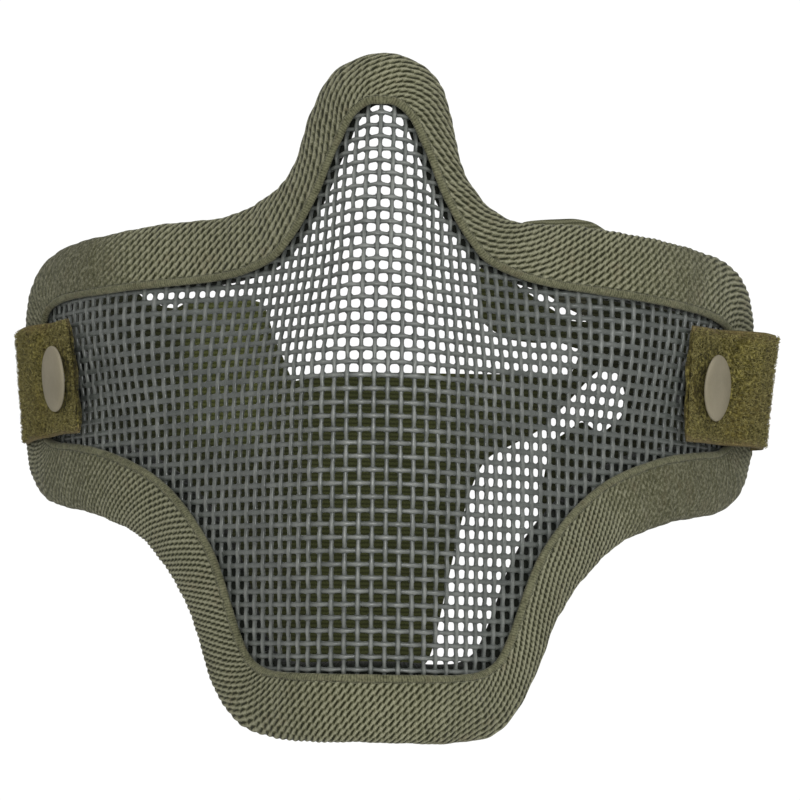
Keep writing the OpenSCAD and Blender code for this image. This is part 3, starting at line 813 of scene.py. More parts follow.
# ------------------------------------------------------------ edge binding
# The binding's ribs as the photograph shows them: [across, down on its 800 by
# 800 picture, angle to the edge's own direction at the lip and at the outer
# edge, pitch mm, stitch mm, how far the ribs show], clockwise from the nose.
RIBS = [
    (380, 60, 22, 22, 1.15, 2.4, 1), (430, 80, 16, 16, 1.15, 2.2, 1), (450, 120, 15, 15, 1.15, 2.1, 1),
    (457, 165, 20, 20, 1.15, 2.1, 1), (472, 200, 20, 18, 1.17, 2.1, 1), (484, 224, 28, 24, 1.20, 2.1, 1),
    (505, 240, 25, 24, 1.22, 2.1, 1), (525, 247, 24, 24, 1.22, 2.1, 1), (560, 240, 36, 36, 1.25, 2.1, 1),
    (600, 243, 43, 43, 1.27, 2.1, 1), (650, 257, 55, 55, 1.28, 2.1, 0.8), (688, 270, 66, 62, 1.28, 1.9, 0.35),
    (706, 282, 76, 48, 1.3, 1.7, 0.8), (735, 300, 84, 26, 1.35, 1.7, 1), (745, 330, 75, 35, 1.3, 1.7, 1),
    (752, 390, 60, 60, 1.2, 1.6, 1), (740, 480, 62, 55, 1.0, 1.4, 0.35), (703, 507, 60, 60, 0.95, 1.3, 0.15),
    (650, 512, 53, 53, 0.93, 1.3, 0.2), (625, 527, 42, 42, 0.97, 1.25, 0.6), (605, 540, 30, 30, 1.0, 1.25, 1), (565, 590, 11, 11, 1.08, 1.25, 1),
    (535, 645, 10, 10, 1.08, 1.25, 1), (512, 700, 16, 18, 1.12, 1.4, 1), (482, 726, 26, 26, 1.15, 1.7, 1),
    (430, 735, 43, 43, 1.2, 2.0, 1), (380, 735, 45, 45, 1.2, 2.2, 1), (310, 735, 48, 48, 1.22, 2.2, 1),
    (262, 722, 54, 54, 1.24, 2.0, 1), (238, 705, 50, 50, 1.24, 1.7, 1), (222, 685, 54, 54, 1.25, 1.3, 1),
    (203, 640, 58, 58, 1.26, 1.1, 1), (188, 600, 61, 61, 1.26, 1.1, 1), (166, 560, 58, 58, 1.24, 1.1, 1),
    (140, 527, 65, 65, 1.2, 1.2, 1), (110, 507, 75, 75, 1.05, 1.3, 0.8), (85, 499, 76, 76, 0.98, 1.3, 0.5),
    (55, 480, 85, 85, 0.95, 1.3, 0.5), (33, 452, 60, 60, 1.05, 1.4, 0.8), (15, 390, 50, 50, 1.1, 1.6, 0.8),
    (32, 290, 45, 45, 1.1, 1.7, 0.5), (60, 260, 35, 35, 1.15, 1.8, 0.2), (95, 246, 33, 33, 1.2, 1.9, 0.2),
    (125, 241, 37, 37, 1.26, 2.0, 0.75), (160, 237, 41, 41, 1.3, 2.2, 1), (205, 232, 44, 44, 1.3, 2.2, 1),
    (240, 222, 30, 30, 1.27, 2.2, 1), (258, 210, 17, 17, 1.24, 2.4, 1), (285, 187, 12, 12, 1.2, 2.5, 1),
    (303, 147, 10, 10, 1.18, 2.5, 1), (322, 104, 16, 16, 1.16, 2.5, 1), (347, 73, 22, 22, 1.15, 2.5, 1)]


def seen(P):
    """Where a point in mm falls on the 800 by 800 picture."""
    a, r = math.radians(1.8), math.radians(0.8)
    x = P[..., 0] * math.cos(a) + (P[..., 1] - 76) * math.sin(a) - 3.62
    d = 926 - P[..., 0] * math.sin(a) + (P[..., 1] - 76) * math.cos(a)
    u, v = 3712 * x / d, 3712 * P[..., 2] / d
    return np.stack([400 + u * math.cos(r) + v * math.sin(r), 400 + u * math.sin(r) - v * math.cos(r)], -1)


_px = seen(_mid)


def ring_place(x, y):
    return RING_S[int(np.argmin(np.hypot(_px[:, 0] - x, _px[:, 1] - y)))]


def rib_tables():
    rows = sorted((ring_place(r[0], r[1]),) + r[2:] for r in RIBS)
    T = np.array(rows)
    s = np.concatenate([T[:, 0] - RING_LEN, T[:, 0], T[:, 0] + RING_LEN])
    return s, np.tile(T[:, 1:], (3, 1))


RIB_S, RIB_T = rib_tables()
S_START = ring_place(20, 388)          # under the left tab, where the tape's ends meet


def rib_value(s, k):
    return np.interp(np.mod(s, RING_LEN), RIB_S, RIB_T[:, k])


def smooth_loop(v, width):
    k = np.hanning(width + 2)[1:-1]
    k /= k.sum()
    return np.convolve(np.tile(v, 3), k, "same")[len(v):2 * len(v)]


def least_squares(bh, bv, start, closed):
    """Values on a grid whose steps come closest to bh round and bv across."""
    wrap = 1.0 if closed else 0.0

    def spread(dh, dv):
        dh = dh.copy()
        dh[-1] *= wrap
        out = np.roll(dh, 1, 0) - dh
        out[:, :-1] -= dv
        out[:, 1:] += dv
        return out

    def apply(x):
        return spread(np.roll(x, -1, 0) - x, x[:, 1:] - x[:, :-1])

    x = start.copy()
    r = spread(bh, bv) - apply(x)
    d = r.copy()
    rs = (r * r).sum()
    for _ in range(2600):
        Ad = apply(d)
        a = rs / max((d * Ad).sum(), 1e-30)
        x += a * d
        r -= a * Ad
        new = (r * r).sum()
        if new < 1e-10:
            break
        d = r + new / rs * d
        rs = new
    return x


def rib_field():
    """The rib count u and stitch count v over the binding's front."""
    n, rows = 900, 13
    s = S_START + np.arange(n) * RING_LEN / n
    st = np.repeat(station(s)[:, None], rows, 1)
    f = np.linspace(0, 1, rows)                    # lip to outer edge
    w = edge_w(st[:, 0])
    m = (w[:, None] - 0.3) * (1 - f) + 1.5 * f
    P = edge_point(st, m, np.full(m.shape, 2.5))
    flat = P[..., [0, 2]]
    along = np.roll(flat, -2, 0) - np.roll(flat, 2, 0)
    tau = np.arctan2(along[..., 1], along[..., 0])
    cs = np.stack([smooth_loop(np.cos(tau[:, j]), 9) for j in range(rows)], 1)
    sn = np.stack([smooth_loop(np.sin(tau[:, j]), 9) for j in range(rows)], 1)
    tau = np.arctan2(sn, cs)
    tab = [smooth_loop(rib_value(s, k), 15) for k in range(5)]
    rel = np.radians(tab[0][:, None] * (1 - f) + tab[1][:, None] * f)
    al = tau + rel
    g = np.stack([np.sin(al), -np.cos(al)], -1) / tab[2][:, None, None]
    q = np.stack([np.cos(al), np.sin(al)], -1) / tab[3][:, None, None]
    res = []
    for field, closed in ((g, True), (q, False)):
        bh = ((field + np.roll(field, -1, 0)) / 2 * (np.roll(flat, -1, 0) - flat)).sum(-1)
        bv = ((field[:, 1:] + field[:, :-1]) / 2 * (flat[:, 1:] - flat[:, :-1])).sum(-1)
        mean = bh.mean(1)
        total = 0
        if closed:
            total = int(round(mean.sum()))
            bh = bh.copy()
            bh[-1] -= total
        first = np.concatenate([[0], np.cumsum(mean[:-1])])[:, None] + np.concatenate([[0], np.cumsum(bv.mean(0))])[None]
        val = least_squares(bh, bv, first, closed)
        step = np.linalg.norm(P[:, -1] - P[:, -3], axis=-1)
        slope = smooth_loop((val[:, -1] - val[:, -3]) / step, 9)
        if closed:
            val = np.concatenate([val, val[:1] + total])
        else:
            val = np.concatenate([val, 2 * val[-1:] - val[-2:-1]])
        res.append((val, np.append(slope, slope[:1]), total))
    return res


def field_at(res, turn, front, beyond):
    """turn 0..1 round the loop, front 0..1 from the lip to the outer edge and
    beyond, the length past it."""
    val, slope, _ = res
    n, rows = val.shape[0] - 1, val.shape[1]
    a = turn * n
    i = np.clip(a.astype(int), 0, n - 1)
    ta = a - i
    b = np.clip(front, 0, 1) * (rows - 1)
    j = np.clip(b.astype(int), 0, rows - 2)
    tb = b - j
    i, ta = i[:, None], ta[:, None]
    v = ((val[i, j] * (1 - ta) + val[i + 1, j] * ta) * (1 - tb)
         + (val[i, j + 1] * (1 - ta) + val[i + 1, j + 1] * ta) * tb)
    sl = slope[i] * (1 - ta) + slope[i + 1] * ta
    return v + sl * beyond


def make_binding():
    n = int(round(RING_LEN / 0.30))
    turn = np.arange(n) / n
    s = S_START + turn * RING_LEN
    st = station(s)
    w = edge_w(st)
    b, x = pad_at(st), w + extra_at(st)
    o = 0 * w
    # the section from the seam by the lip over the front, round the outer
    # edge, along the back and up to the mesh again
    C = np.stack([np.stack(c, -1) for c in [
        (w - 0.05, o + 1.95), (w - 0.35, o + 2.33), (w * 0.8, o + 2.55), (w * 0.5, o + 2.7),
        (w * 0.25 + 0.4, o + 2.45), (o + 1.5, o + 1.75), (o + 0.45, o + 0.7),
        (o + 0.05, -b * 0.12), (o, -b * 0.3), (o + 0.25, -b * 0.5), (o + 0.9, -b * 0.7),
        (o + 2.0, -b * 0.86), (o + 3.6, -b * 0.95), (w * 0.6, -b), (w * 0.85, -b + 0.05),
        (x - 1.2, -b + 0.5), (x - 0.25, -b + np.minimum(1.3, b * 0.3)), (x, -b * 0.55), (x - 0.1, -np.maximum(b * 0.25 - 0.1, 0.95)),
        (x - 0.5, o - 0.95), (w * 0.92, o - 0.95), (w - 1.4, o - 0.6), (w - 1.2, o + 1.2)]], 1)
    counts = [1, 7, 13, 11, 9, 5, 4, 3, 4, 3, 2, 2, 2, 2, 2, 1, 1, 1, 1, 1, 1, 1, 1]
    k0 = C.shape[1]
    out, own = [], []
    for j in range(k0):
        a, bb, c, d = C[:, j - 1], C[:, j], C[:, (j + 1) % k0], C[:, (j + 2) % k0]
        for q in range(counts[j]):
            t = q / counts[j]
            out.append(0.5 * (2 * bb + (c - a) * t + (2 * a - 5 * bb + 4 * c - d) * t**2 + (3 * bb - a - 3 * c + d) * t**3))
            own.append(j + t)
    C, own = np.stack(out, 1), np.array(own)
    k = len(own)
    seg = np.linalg.norm(np.diff(C, axis=1), axis=-1)
    across = np.concatenate([np.zeros((n, 1)), np.cumsum(seg, 1)], 1)
    brim = int(np.argmin(np.abs(own - 5)))
    cf = across[:, brim:brim + 1]
    front, beyond = across / cf, np.clip(across - cf, 0, 9.0)
    U_, V_ = rib_field()
    u = field_at(U_, turn, front, beyond)
    v = field_at(V_, turn, front, beyond)
    st2 = np.repeat(st[:, None], k, 1)
    P = edge_point(st2, C[..., 0], C[..., 1])
    N = grid_normals(P, True, True)
    mid = P.mean(1, keepdims=True)
    flip = np.sign(((P - mid) * N).sum(-1).mean())
    N = N * flip
    on = np.interp(own, [0, 0.5, 1.3, 12, 14, 16], [0.1, 0.5, 1, 1, 0.6, 0])
    show = smooth_loop(rib_value(s, 4), 21)
    lift = (0.5 + 0.5 * np.cos(2 * math.pi * u)) ** 0.7 - 0.55
    P = P + N * (0.30 * lift * on[None] * (0.25 + 0.75 * show)[:, None])[..., None]
    # the sewn tape lies a little unevenly
    wav = 0.10 * np.sin(s * 0.21 + 1.0) + 0.07 * np.sin(s * 0.53 + 2.1) + 0.05 * np.sin(s * 1.13)
    P = P + N * (wav[:, None] * np.interp(own, [0, 3, 14, 17], [0, 1, 1, 0])[None])[..., None]
    faces, I, J = grid_faces(n, k, True, True)
    u2 = np.concatenate([u, u[:1] + U_[2]])
    v2 = np.concatenate([v, 2 * v[-1:] - v[-2:-1]])
    u2 = np.concatenate([u2, u2[:, -1:]], 1)
    v2 = np.concatenate([v2, v2[:, -1:]], 1)
    uvu = np.stack([u2[I, J], u2[I, J + 1], u2[I + 1, J + 1], u2[I + 1, J]], -1)
    uvv = np.stack([v2[I, J], v2[I, J + 1], v2[I + 1, J + 1], v2[I + 1, J]], -1)
    if flip < 0:
        faces, uvu, uvv = faces[:, ::-1], uvu[:, ::-1], uvv[:, ::-1]
    ob = new_mesh("binding_cover", place(P.reshape(-1, 3)), faces, uv=np.stack([uvu, uvv], -1))
    at = ob.data.attributes.new("ribbing", "FLOAT", "POINT")
    at.data.foreach_set("value", np.repeat(show, k).astype(np.float32))
    # painted shade on the binding's inner wall and back by the mesh, where the mask's shade falls
    at = ob.data.attributes.new("inner", "FLOAT", "POINT")
    at.data.foreach_set("value", np.tile(np.interp(own, [14.6, 15.2, 21.5, 22.2], [0, 1, 1, 0]), n).astype(np.float32))
    return ob


binding = dress(make_binding(), "rope", "mask", "binding_fabric", "edge_binding")


def make_lip():
    """The rolled hem along the inner edge, with its fine cross threads."""
    pitch, per = 0.62, 4
    st = station(np.linspace(0, RING_LEN, 2401)[:-1])
    P = on_mask(st[:, 2:])
    d = np.linalg.norm(np.roll(P, -1, 0) - P, axis=1)
    L = np.concatenate([[0], np.cumsum(d)])
    count = int(round(L[-1] / pitch))
    n = count * per
    t = np.arange(n) / per
    s = np.interp(t / count * L[-1], L, np.linspace(0, RING_LEN, 2401))
    stn = station(s)
    w = edge_w(stn)
    sec = np.array([[-0.30, 1.5], [-0.28, 2.25], [0.0, 2.58], [0.45, 2.66], [0.9, 2.52], [1.28, 2.2],
                    [1.48, 1.75], [1.38, 1.25], [0.9, 0.98], [0.2, 0.98]])
    k = len(sec)
    st2 = np.repeat(stn[:, None], k, 1)
    m = w[:, None] + sec[None, :, 0]
    h = np.repeat(sec[None, :, 1], n, 0)
    Pt = edge_point(st2, m, h)
    N = grid_normals(Pt, True, True)
    mid = Pt.mean(1, keepdims=True)
    flip = np.sign(((Pt - mid) * N).sum(-1).mean())
    N = N * flip
    rel = 0.036 * np.cos(2 * math.pi * t)
    uneven = 0.06 * np.sin(s * 0.37) + 0.05 * np.sin(s * 0.91 + 1) + 0.03 * np.sin(s * 2.3)
    on = np.array([0, 0.6, 1, 1, 1, 1, 0.8, 0.3, 0, 0])
    Pt = Pt + N * ((rel[:, None] + uneven[:, None]) * on[None])[..., None]
    faces, I, J = grid_faces(n, k, True, True)
    a = np.concatenate([[0], np.cumsum(np.linalg.norm(np.diff(sec, axis=0), axis=1)), [8.0]])
    tu = np.where(I == n - 1, count, t[(I + 1) % n])
    uvu = np.stack([t[I], t[I], tu, tu], -1)
    uvv = np.stack([a[J], a[J + 1], a[J + 1], a[J]], -1)
    if flip < 0:
        faces, uvu, uvv = faces[:, ::-1], uvu[:, ::-1], uvv[:, ::-1]
    return new_mesh("binding_hem", place(Pt.reshape(-1, 3)), faces, uv=np.stack([uvu, uvv], -1))


lip = dress(make_lip(), "lip", "mask", "lip_fabric", "binding_lip")


def make_seam():
    """Short stitches in the groove between the ribbed cover and the hem."""
    bag = Bag()
    s = np.arange(0, RING_LEN - 1.0, 2.6)
    for a in s:
        t = np.linspace(0, 1, 5)
        stn = station(a + t * 1.9)
        w = edge_w(stn)
        h = 2.20 + 0.26 * np.sin(math.pi * t)
        P = edge_point(stn, w - 0.42, h)
        N = normal_at(stn[:, 2:])
        r = 0.14 * np.sqrt(np.sin(math.pi * (0.12 + 0.76 * t)))
        bag.rings(tube_rings(P, N, r, r, 6))
    return bag.ob("seam_stitches", place)


seam = dress(make_seam(), "thread", "mask", "thread", "seam_thread")

node_material("edge_foam", "foam")

# ------------------------------------------------------------------ rivets
RIVET_X, TILT = 76.8, math.radians(61)
RIVET_Y = float(depth_at(np.array([RIVET_X]), np.array([AXIS_Z]))[0])
TX, TY = math.cos(TILT), math.sin(TILT)
NXP, NYP = math.sin(TILT), -math.cos(TILT)


def at_rivet(side, p):
    """p is (along the plate, up, out of it)"""
    p = np.asarray(p, float)
    x = RIVET_X + p[..., 0] * TX + p[..., 2] * NXP
    y = RIVET_Y + p[..., 0] * TY + p[..., 2] * NYP
    return np.stack([side * x, y, AXIS_Z + p[..., 1]], -1)


def make_cap(side):
    prof = np.array([[0.0, 6.93], [1.5, 6.92], [3.0, 6.87], [4.6, 6.78], [6.0, 6.63], [7.0, 6.46], [7.7, 6.24],
                     [8.1, 5.98], [8.20, 5.72], [8.14, 5.48], [7.90, 5.34], [7.2, 5.28], [4.0, 5.28], [0.6, 5.28]])
    n = 72
    a = np.arange(n) * 2 * math.pi / n
    R = np.stack([prof[None, 1:, 0] * np.cos(a)[:, None], prof[None, 1:, 0] * np.sin(a)[:, None],
                  np.repeat(prof[None, 1:, 1], n, 0)], -1)
    # a slight flat and dent of the pressed disc
    r2 = (R[..., 0] ** 2 + R[..., 1] ** 2) / 60
    R[..., 2] += np.where(R[..., 2] > 5, 0.05 * np.sin(3 * a + side)[:, None] * r2, 0)
    k = R.shape[1]
    faces, _, _ = grid_faces(n, k, True, False)
    top = np.array([[0, 0, prof[0, 1]], [0, 0, 5.28]])
    V = np.concatenate([R.reshape(-1, 3), top])
    # the discs sit a little askew on their posts
    ta, tb = (math.radians(-4.0), math.radians(-4.2)) if side < 0 else (math.radians(-4.6), math.radians(-2.2))
    V[:, 0], V[:, 2] = V[:, 0] * math.cos(ta) - (V[:, 2] - 6) * math.sin(ta), 6 + V[:, 0] * math.sin(ta) + (V[:, 2] - 6) * math.cos(ta)
    V[:, 1], V[:, 2] = V[:, 1] * math.cos(tb) + (V[:, 2] - 6) * math.sin(tb), 6 - V[:, 1] * math.sin(tb) + (V[:, 2] - 6) * math.cos(tb)
    V[:, 2] += 0.42
    j = np.arange(n)
    t1 = np.stack([np.full(n, n * k), j * k, ((j + 1) % n) * k], -1)
    t2 = np.stack([np.full(n, n * k + 1), ((j + 1) % n) * k + k - 1, j * k + k - 1], -1)
    tris = np.concatenate([t1, t2])
    if side > 0:
        faces, tris = faces[:, ::-1], tris[:, ::-1]
    name = "right" if side > 0 else "left"
    return new_mesh(name + "_cap_disc", place(at_rivet(side, V)), faces, tris)


for side, nm in ((-1, "left"), (1, "right")):
    dress(make_cap(side), "cap", "mask", "cap_paint", nm + "_rivet_cap")
    node_material(nm + "_rivet_post", "steel")
    # the washers take a near-black colour as painted shade
    node_material(nm + "_rivet_washer", "washer")

# --------------------------------------------------------------- side tabs
REAR_X, TAPE_W, TAPE_T, TAIL = 95.0, 30.0, 1.6, 66.0


def plate(along, off):
    return np.array([RIVET_X + along * TX + off * NXP, RIVET_Y + along * TY + off * NYP])


_bf = plate(22, 5.4)
BEND_R = (REAR_X - _bf[0]) / (1 - math.sin(TILT))
BEND_Y = _bf[1] + BEND_R * math.cos(TILT)
TAB_END = BEND_Y + TAIL
PATCH_L, PATCH_W, PATCH_T, BAND_T = 45.0, 25.0, 1.3, 1.4
PATCH_X = REAR_X + TAPE_T / 2 + 0.3
BAND_X = PATCH_X + PATCH_T + BAND_T / 2
PATCH_Y = TAB_END - PATCH_L
BAND_Y0, BAND_Y1, BAND_BACK = PATCH_Y - 2, 180.0, 58.0


def tab_path():
    pts = [plate(-10.5, 3.6), plate(-6, 3.6), plate(0, 3.6), plate(7, 3.7), plate(9, 4.2), plate(11, 5.3), plate(12.5, 6.0),
           plate(14, 6.3), plate(17, 6.3), plate(20, 5.9)]
    for i in range(9):
        a = TILT + (math.pi / 2 - TILT) * i / 8
        pts.append(np.array([REAR_X - BEND_R * (1 - math.sin(a)), BEND_Y - BEND_R * math.cos(a)]))
    pts.append(np.array([REAR_X, TAB_END]))
    return np.array(pts)


TAB_PTS = tab_path()
_tl = np.concatenate([[0], np.cumsum(np.linalg.norm(np.diff(TAB_PTS, axis=0), axis=1))])
TAB_LEN = _tl[-1]
TAB_RIV = 10.5           # the rivet's place along the tape
TAB_BARE = TAB_LEN - PATCH_L - 2.2


def inset(side, y):
    """How far the tape's tail and the strap's end there lie further in than
    the straight line of the joint."""
    t = np.clip((np.asarray(y, float) - 87) / 13, 0, 1)
    b = np.clip((np.asarray(y, float) - 182) / 33, 0, 1)
    return (4.4 if side < 0 else 4.8) * t * t * (3 - 2 * t) * (1 - b * b * (3 - 2 * b))


def tab_at(side, a, c, off):
    """A point of the tape: a along it, c across it, off out of its middle."""
    a, c, off = np.broadcast_arrays(np.asarray(a, float), np.asarray(c, float), np.asarray(off, float))
    e = 0.6
    x = np.interp(a, _tl, TAB_PTS[:, 0]); y = np.interp(a, _tl, TAB_PTS[:, 1])
    x0 = np.interp(a - e, _tl, TAB_PTS[:, 0]); x1 = np.interp(a + e, _tl, TAB_PTS[:, 0])
    y0 = np.interp(a - e, _tl, TAB_PTS[:, 1]); y1 = np.interp(a + e, _tl, TAB_PTS[:, 1])
    x, y = (x + x0 + x1) / 3, (y + y0 + y1) / 3
    d = unit(np.stack([x1 - x0, y1 - y0], -1))
    # the slanting free end and a little bulge before the patch
    up = (c + 15) / 30
    if side > 0:
        bulge = np.interp(a, [16, 27, 33, 37, 42, 45, 48, 200], [0, 0.96, 1, 0.93, 0.4, 0.12, 0, 0])
        out = bulge * (2.4 + 3.3 * up ** 1.3)
    else:
        bulge = np.interp(a, [16, 27, 33, 37, 42, 45, 48, 200], [0, 0.96, 1, 0.93, 0.4, 0.12, 0, 0])
        out = bulge * (-1.6 + 2.9 * up)
    # the free end is pressed down on the mesh
    out = out - 1.2 * np.interp(a, [0, 3, 9], [1, 0.8, 0]) * (1 - 0.6 * (c / 15) ** 2)
    c = 0.65 + c * 0.957 - (1.9 if side < 0 else 0.6) * np.interp(a, [10, 20, 36, 60, 100], [0, 0.35, 1, 1, 0])
    nx, ny = d[..., 1], -d[..., 0]
    return np.stack([side * (x - inset(side, y) + nx * (off + out)), y + ny * (off + out), AXIS_Z + c], -1)


def front_cut(side, c):
    """How far the tape's free end is cut back, by the place across it."""
    up = (c + 15) / 30
    return 7.6 * up if side < 0 else -0.4 + 2.6 * up


def make_tab(side):
    name = "right" if side > 0 else "left"
    A = np.concatenate([np.linspace(0, 1, 3)[:-1] * 1.0, np.arange(1.0, TAB_BARE + 3, 0.5), np.linspace(TAB_BARE + 3.4, TAB_LEN, 26)])
    outer = np.concatenate([[-15.0, -14.9], np.arange(-14.5, 14.6, 0.5), [14.9, 15.0]])
    inner = np.linspace(15.0, -15.0, 13)[1:-1]
    C = np.concatenate([outer, inner])
    k, ko = len(C), len(outer)
    n = len(A)
    a = A[:, None] + (front_cut(side, C)[None] * np.interp(A, [0, 14], [1, 0])[:, None])
    c = np.repeat(C[None], n, 0)
    pile = (np.abs(outer) < 14.2).astype(float)
    rr = RNG.rand(n, ko)
    rr = (rr + np.roll(rr, 1, 0) + np.roll(rr, 1, 1) + np.roll(rr, -1, 1)) / 4
    off = np.empty((n, k))
    top = np.interp(np.abs(outer), [11, 14.2], [0.42, 0.12])[None] + (rr - 0.5) * (0.5 * pile + 0.08)[None]
    top[:, 0] = -0.35; top[:, -1] = -0.35
    top[:, 1] = 0.0; top[:, -2] = 0.0
    off[:, :ko] = np.where((A > TAB_BARE)[:, None], np.minimum(top, 0.55), top)
    off[:, ko:] = -0.72
    # the free end is wavy and frayed
    fray = 0.35 * np.sin(C * 1.9 + side) + 0.25 * np.sin(C * 4.7)
    a = a + fray[None] * np.interp(A, [0, 3], [1, 0])[:, None] + 0.4
    P = hung(tab_at(side, a, c, off))
    # the tail under the patch stays inside its own solid
    faces, I, J = grid_faces(n, k, False, True)
    uvu = np.stack([a[I, J], a[I, (J + 1) % k], a[I + 1, (J + 1) % k], a[I + 1, J]], -1)
    cc = np.append(C, C[0])
    uvv = np.stack([cc[J], cc[J + 1], cc[J + 1], cc[J]], -1)
    V = np.concatenate([P.reshape(-1, 3), P[:1].mean(1), P[-1:].mean(1)])
    j = np.arange(k)
    t1 = np.stack([np.full(k, n * k), (j + 1) % k, j], -1)
    t2 = np.stack([np.full(k, n * k + 1), (n - 1) * k + j, (n - 1) * k + (j + 1) % k], -1)
    tris = np.concatenate([t1, t2])
    if side < 0:
        faces, uvu, uvv, tris = faces[:, ::-1], uvu[:, ::-1], uvv[:, ::-1], tris[:, ::-1]
    tuv = np.stack([np.full(tris.shape, 0.5), np.where(tris < n * k, C[tris % k], 0.0)], -1)
    ob = new_mesh(name + "_tape", V, faces, tris, uv=np.stack([uvu, uvv], -1), tri_uv=tuv)
    return dress(ob, "loop", name + "_tab", "loop_tape", name + "_loop_tape")


def make_pile(side, count):
    """Loops of the pile, standing up from the bare part of the tape."""
    name = "right" if side > 0 else "left"
    a = RNG.uniform(0.6, TAB_BARE - 0.3, count)
    c = RNG.uniform(-14.4, 14.4, count)
    # none near the rivet, where the cap disc lies over the tape
    keep = np.hypot(a - TAB_RIV, c) > 9.6
    a, c = a[keep], c[keep]
    a = a + front_cut(side, c) * np.interp(a, [0, 14], [1, 0])
    n = len(a)
    ang = RNG.uniform(0, 2 * math.pi, n)
    ln = RNG.uniform(0.25, 0.75, n)
    hg = RNG.uniform(0.35, 0.85, n) * np.interp(a, [45, 49], [1, 0.4])
    t = np.array([-1.0, -0.55, 0.0, 0.55, 1.0])
    lift = 1 - t ** 2
    aa = a[:, None] + np.cos(ang)[:, None] * ln[:, None] * t
    cc = c[:, None] + np.sin(ang)[:, None] * ln[:, None] * t + RNG.uniform(-0.15, 0.15, (n, 5))
    oo = 0.45 + hg[:, None] * lift + RNG.uniform(-0.05, 0.05, (n, 5))
    P = tab_at(side, aa, cc, oo)                      # n,5,3
    T = unit(np.gradient(P, axis=1))
    ref = unit(tab_at(side, a, c, 1.0) - tab_at(side, a, c, 0.0))[:, None]
    B = unit(np.cross(T, ref + 0.01))
    Nn = np.cross(B, T)
    r = 0.062
    k = 3
    q = np.arange(k) * 2 * math.pi / k
    R = P[:, :, None] + r * (B[:, :, None] * np.cos(q)[None, None, :, None] + Nn[:, :, None] * np.sin(q)[None, None, :, None])
    f, _, _ = grid_faces(5, k, False, True)
    F = (f[None] + (np.arange(n) * 15)[:, None, None]).reshape(-1, 4)
    V = hung(R.reshape(-1, 3))
    e = np.arange(n) * 15
    tris = np.concatenate([np.stack([e, e + 2, e + 1], -1), np.stack([e + 12, e + 13, e + 14], -1)])
    if side < 0:
        F, tris = F[:, ::-1], tris[:, ::-1]
    ob = new_mesh(name + "_pile_loops", V, F, tris)
    return dress(ob, "fibre", name + "_tab", "loop_tape", name + "_loop_tape")


for side in (-1, 1):
    make_tab(side)
    make_pile(side, 5200)

# -------------------------------------------------------------- head strap
BAND_TOP = np.array([[-98, 25.6], [-92, 27.2], [-87, 28.6], [-80, 29.8], [-77.5, 30.2], [-75.8, 29.8], [-74.4, 27.2],
                     [-71.3, 27.2], [-70, 25.8], [-65.5, 25.6], [-64, 27.6], [-54, 28.5], [-46, 28.5], [-41.6, 27.6],
                     [-40.6, 26.2], [-40, 19.6], [-38.3, 16.5], [-36.3, 12.8], [-34.4, 8.9], [-33.8, 4.4], [-32.1, 4.8],
                     [-29.4, 6.2], [-24, 7.4], [-17.7, 8], [0, 8], [28, 8], [49.5, 8], [51.5, 16], [54, 30], [58, 38],
                     [66, 39], [76, 36], [88, 29], [98, 24]], float)
BAND_LOW = np.array([[-98, -11], [-92, -13], [-85, -20], [-76, -26], [-68, -33], [-60, -42], [-52, -54],
                     [-46, -64], [-40, -72], [-34, -76.5], [-28, -78.5], [-12, -79], [0, -79],
                     [7, -78], [9.5, -74], [10.5, -68], [13, -54], [16, -39.5], [19, -27], [22, -19.5], [25, -16],
                     [32.5, -12.2], [40, -8], [48, 0], [53, 6], [57, 10], [61, 10], [64.5, 5], [66, -5], [70, -12],
                     [80, -14], [90, -12.5], [98, -11]], float)
SIDE_TOP = np.array([[100, 19], [146, 19], [158, 21], [168, 24.2], [180, 27]], float)
BAND_LIFT = np.array([[100, 0], [150, 0], [164, 1], [180, 4.5], [200, 7], [238, 8.9]], float)
FOLD_TOP = np.array([[20, 35], [24, 42], [28, 45.5], [29, 46.2], [31.6, 34.5], [48, 23.6], [60, 23]], float)
FOLD_LOW = np.array([[20, 26], [24, 21.5], [30, 18], [38, 17], [45, 17.5], [50, 15.5], [60, 14.5]], float)
CREST_TOP = np.array([[26, 47], [30, 50], [34, 52.6], [40, 53.2], [48.6, 53.6], [54, 52.6], [57, 50.6], [60, 48.4],
                      [66, 44], [76, 38], [86, 31.5]], float)
CREST_LOW = np.array([[26, 38.6], [31.5, 37.6], [48, 26.8], [52, 25], [66, 24], [86, 26]], float)
DRAPE_TOP = np.array([[38, -31], [40.5, -27], [41.5, -12.5], [47, -9], [52, -5.2], [57.3, -9.4], [61.7, -5.8],
                      [64.8, -2.6], [65.8, 8.8], [70, 12], [84, 14]], float)
DRAPE_LOW = np.array([[38, -38], [44, -36], [52, -30], [60, -26], [66, -22], [76, -17], [84, -14.5]], float)


def band_path():
    y = np.linspace(BAND_Y0, BAND_Y1, 40)
    a = np.linspace(0, math.pi, 361)
    right = np.stack([np.full(40, BAND_X), y], -1)
    arc = np.stack([BAND_X * np.cos(a), BAND_Y1 + BAND_BACK * np.sin(a)], -1)
    left = np.stack([np.full(40, -BAND_X), y[::-1]], -1)
    return np.concatenate([right, arc[1:-1], left])


def band_wave(X, Z):
    return 1.1 * np.sin(X * 0.075 + Z * 0.035) + 0.8 * np.sin(Z * 0.11 - X * 0.03) + 0.35 * np.sin(X * 0.21 + Z * 0.17)


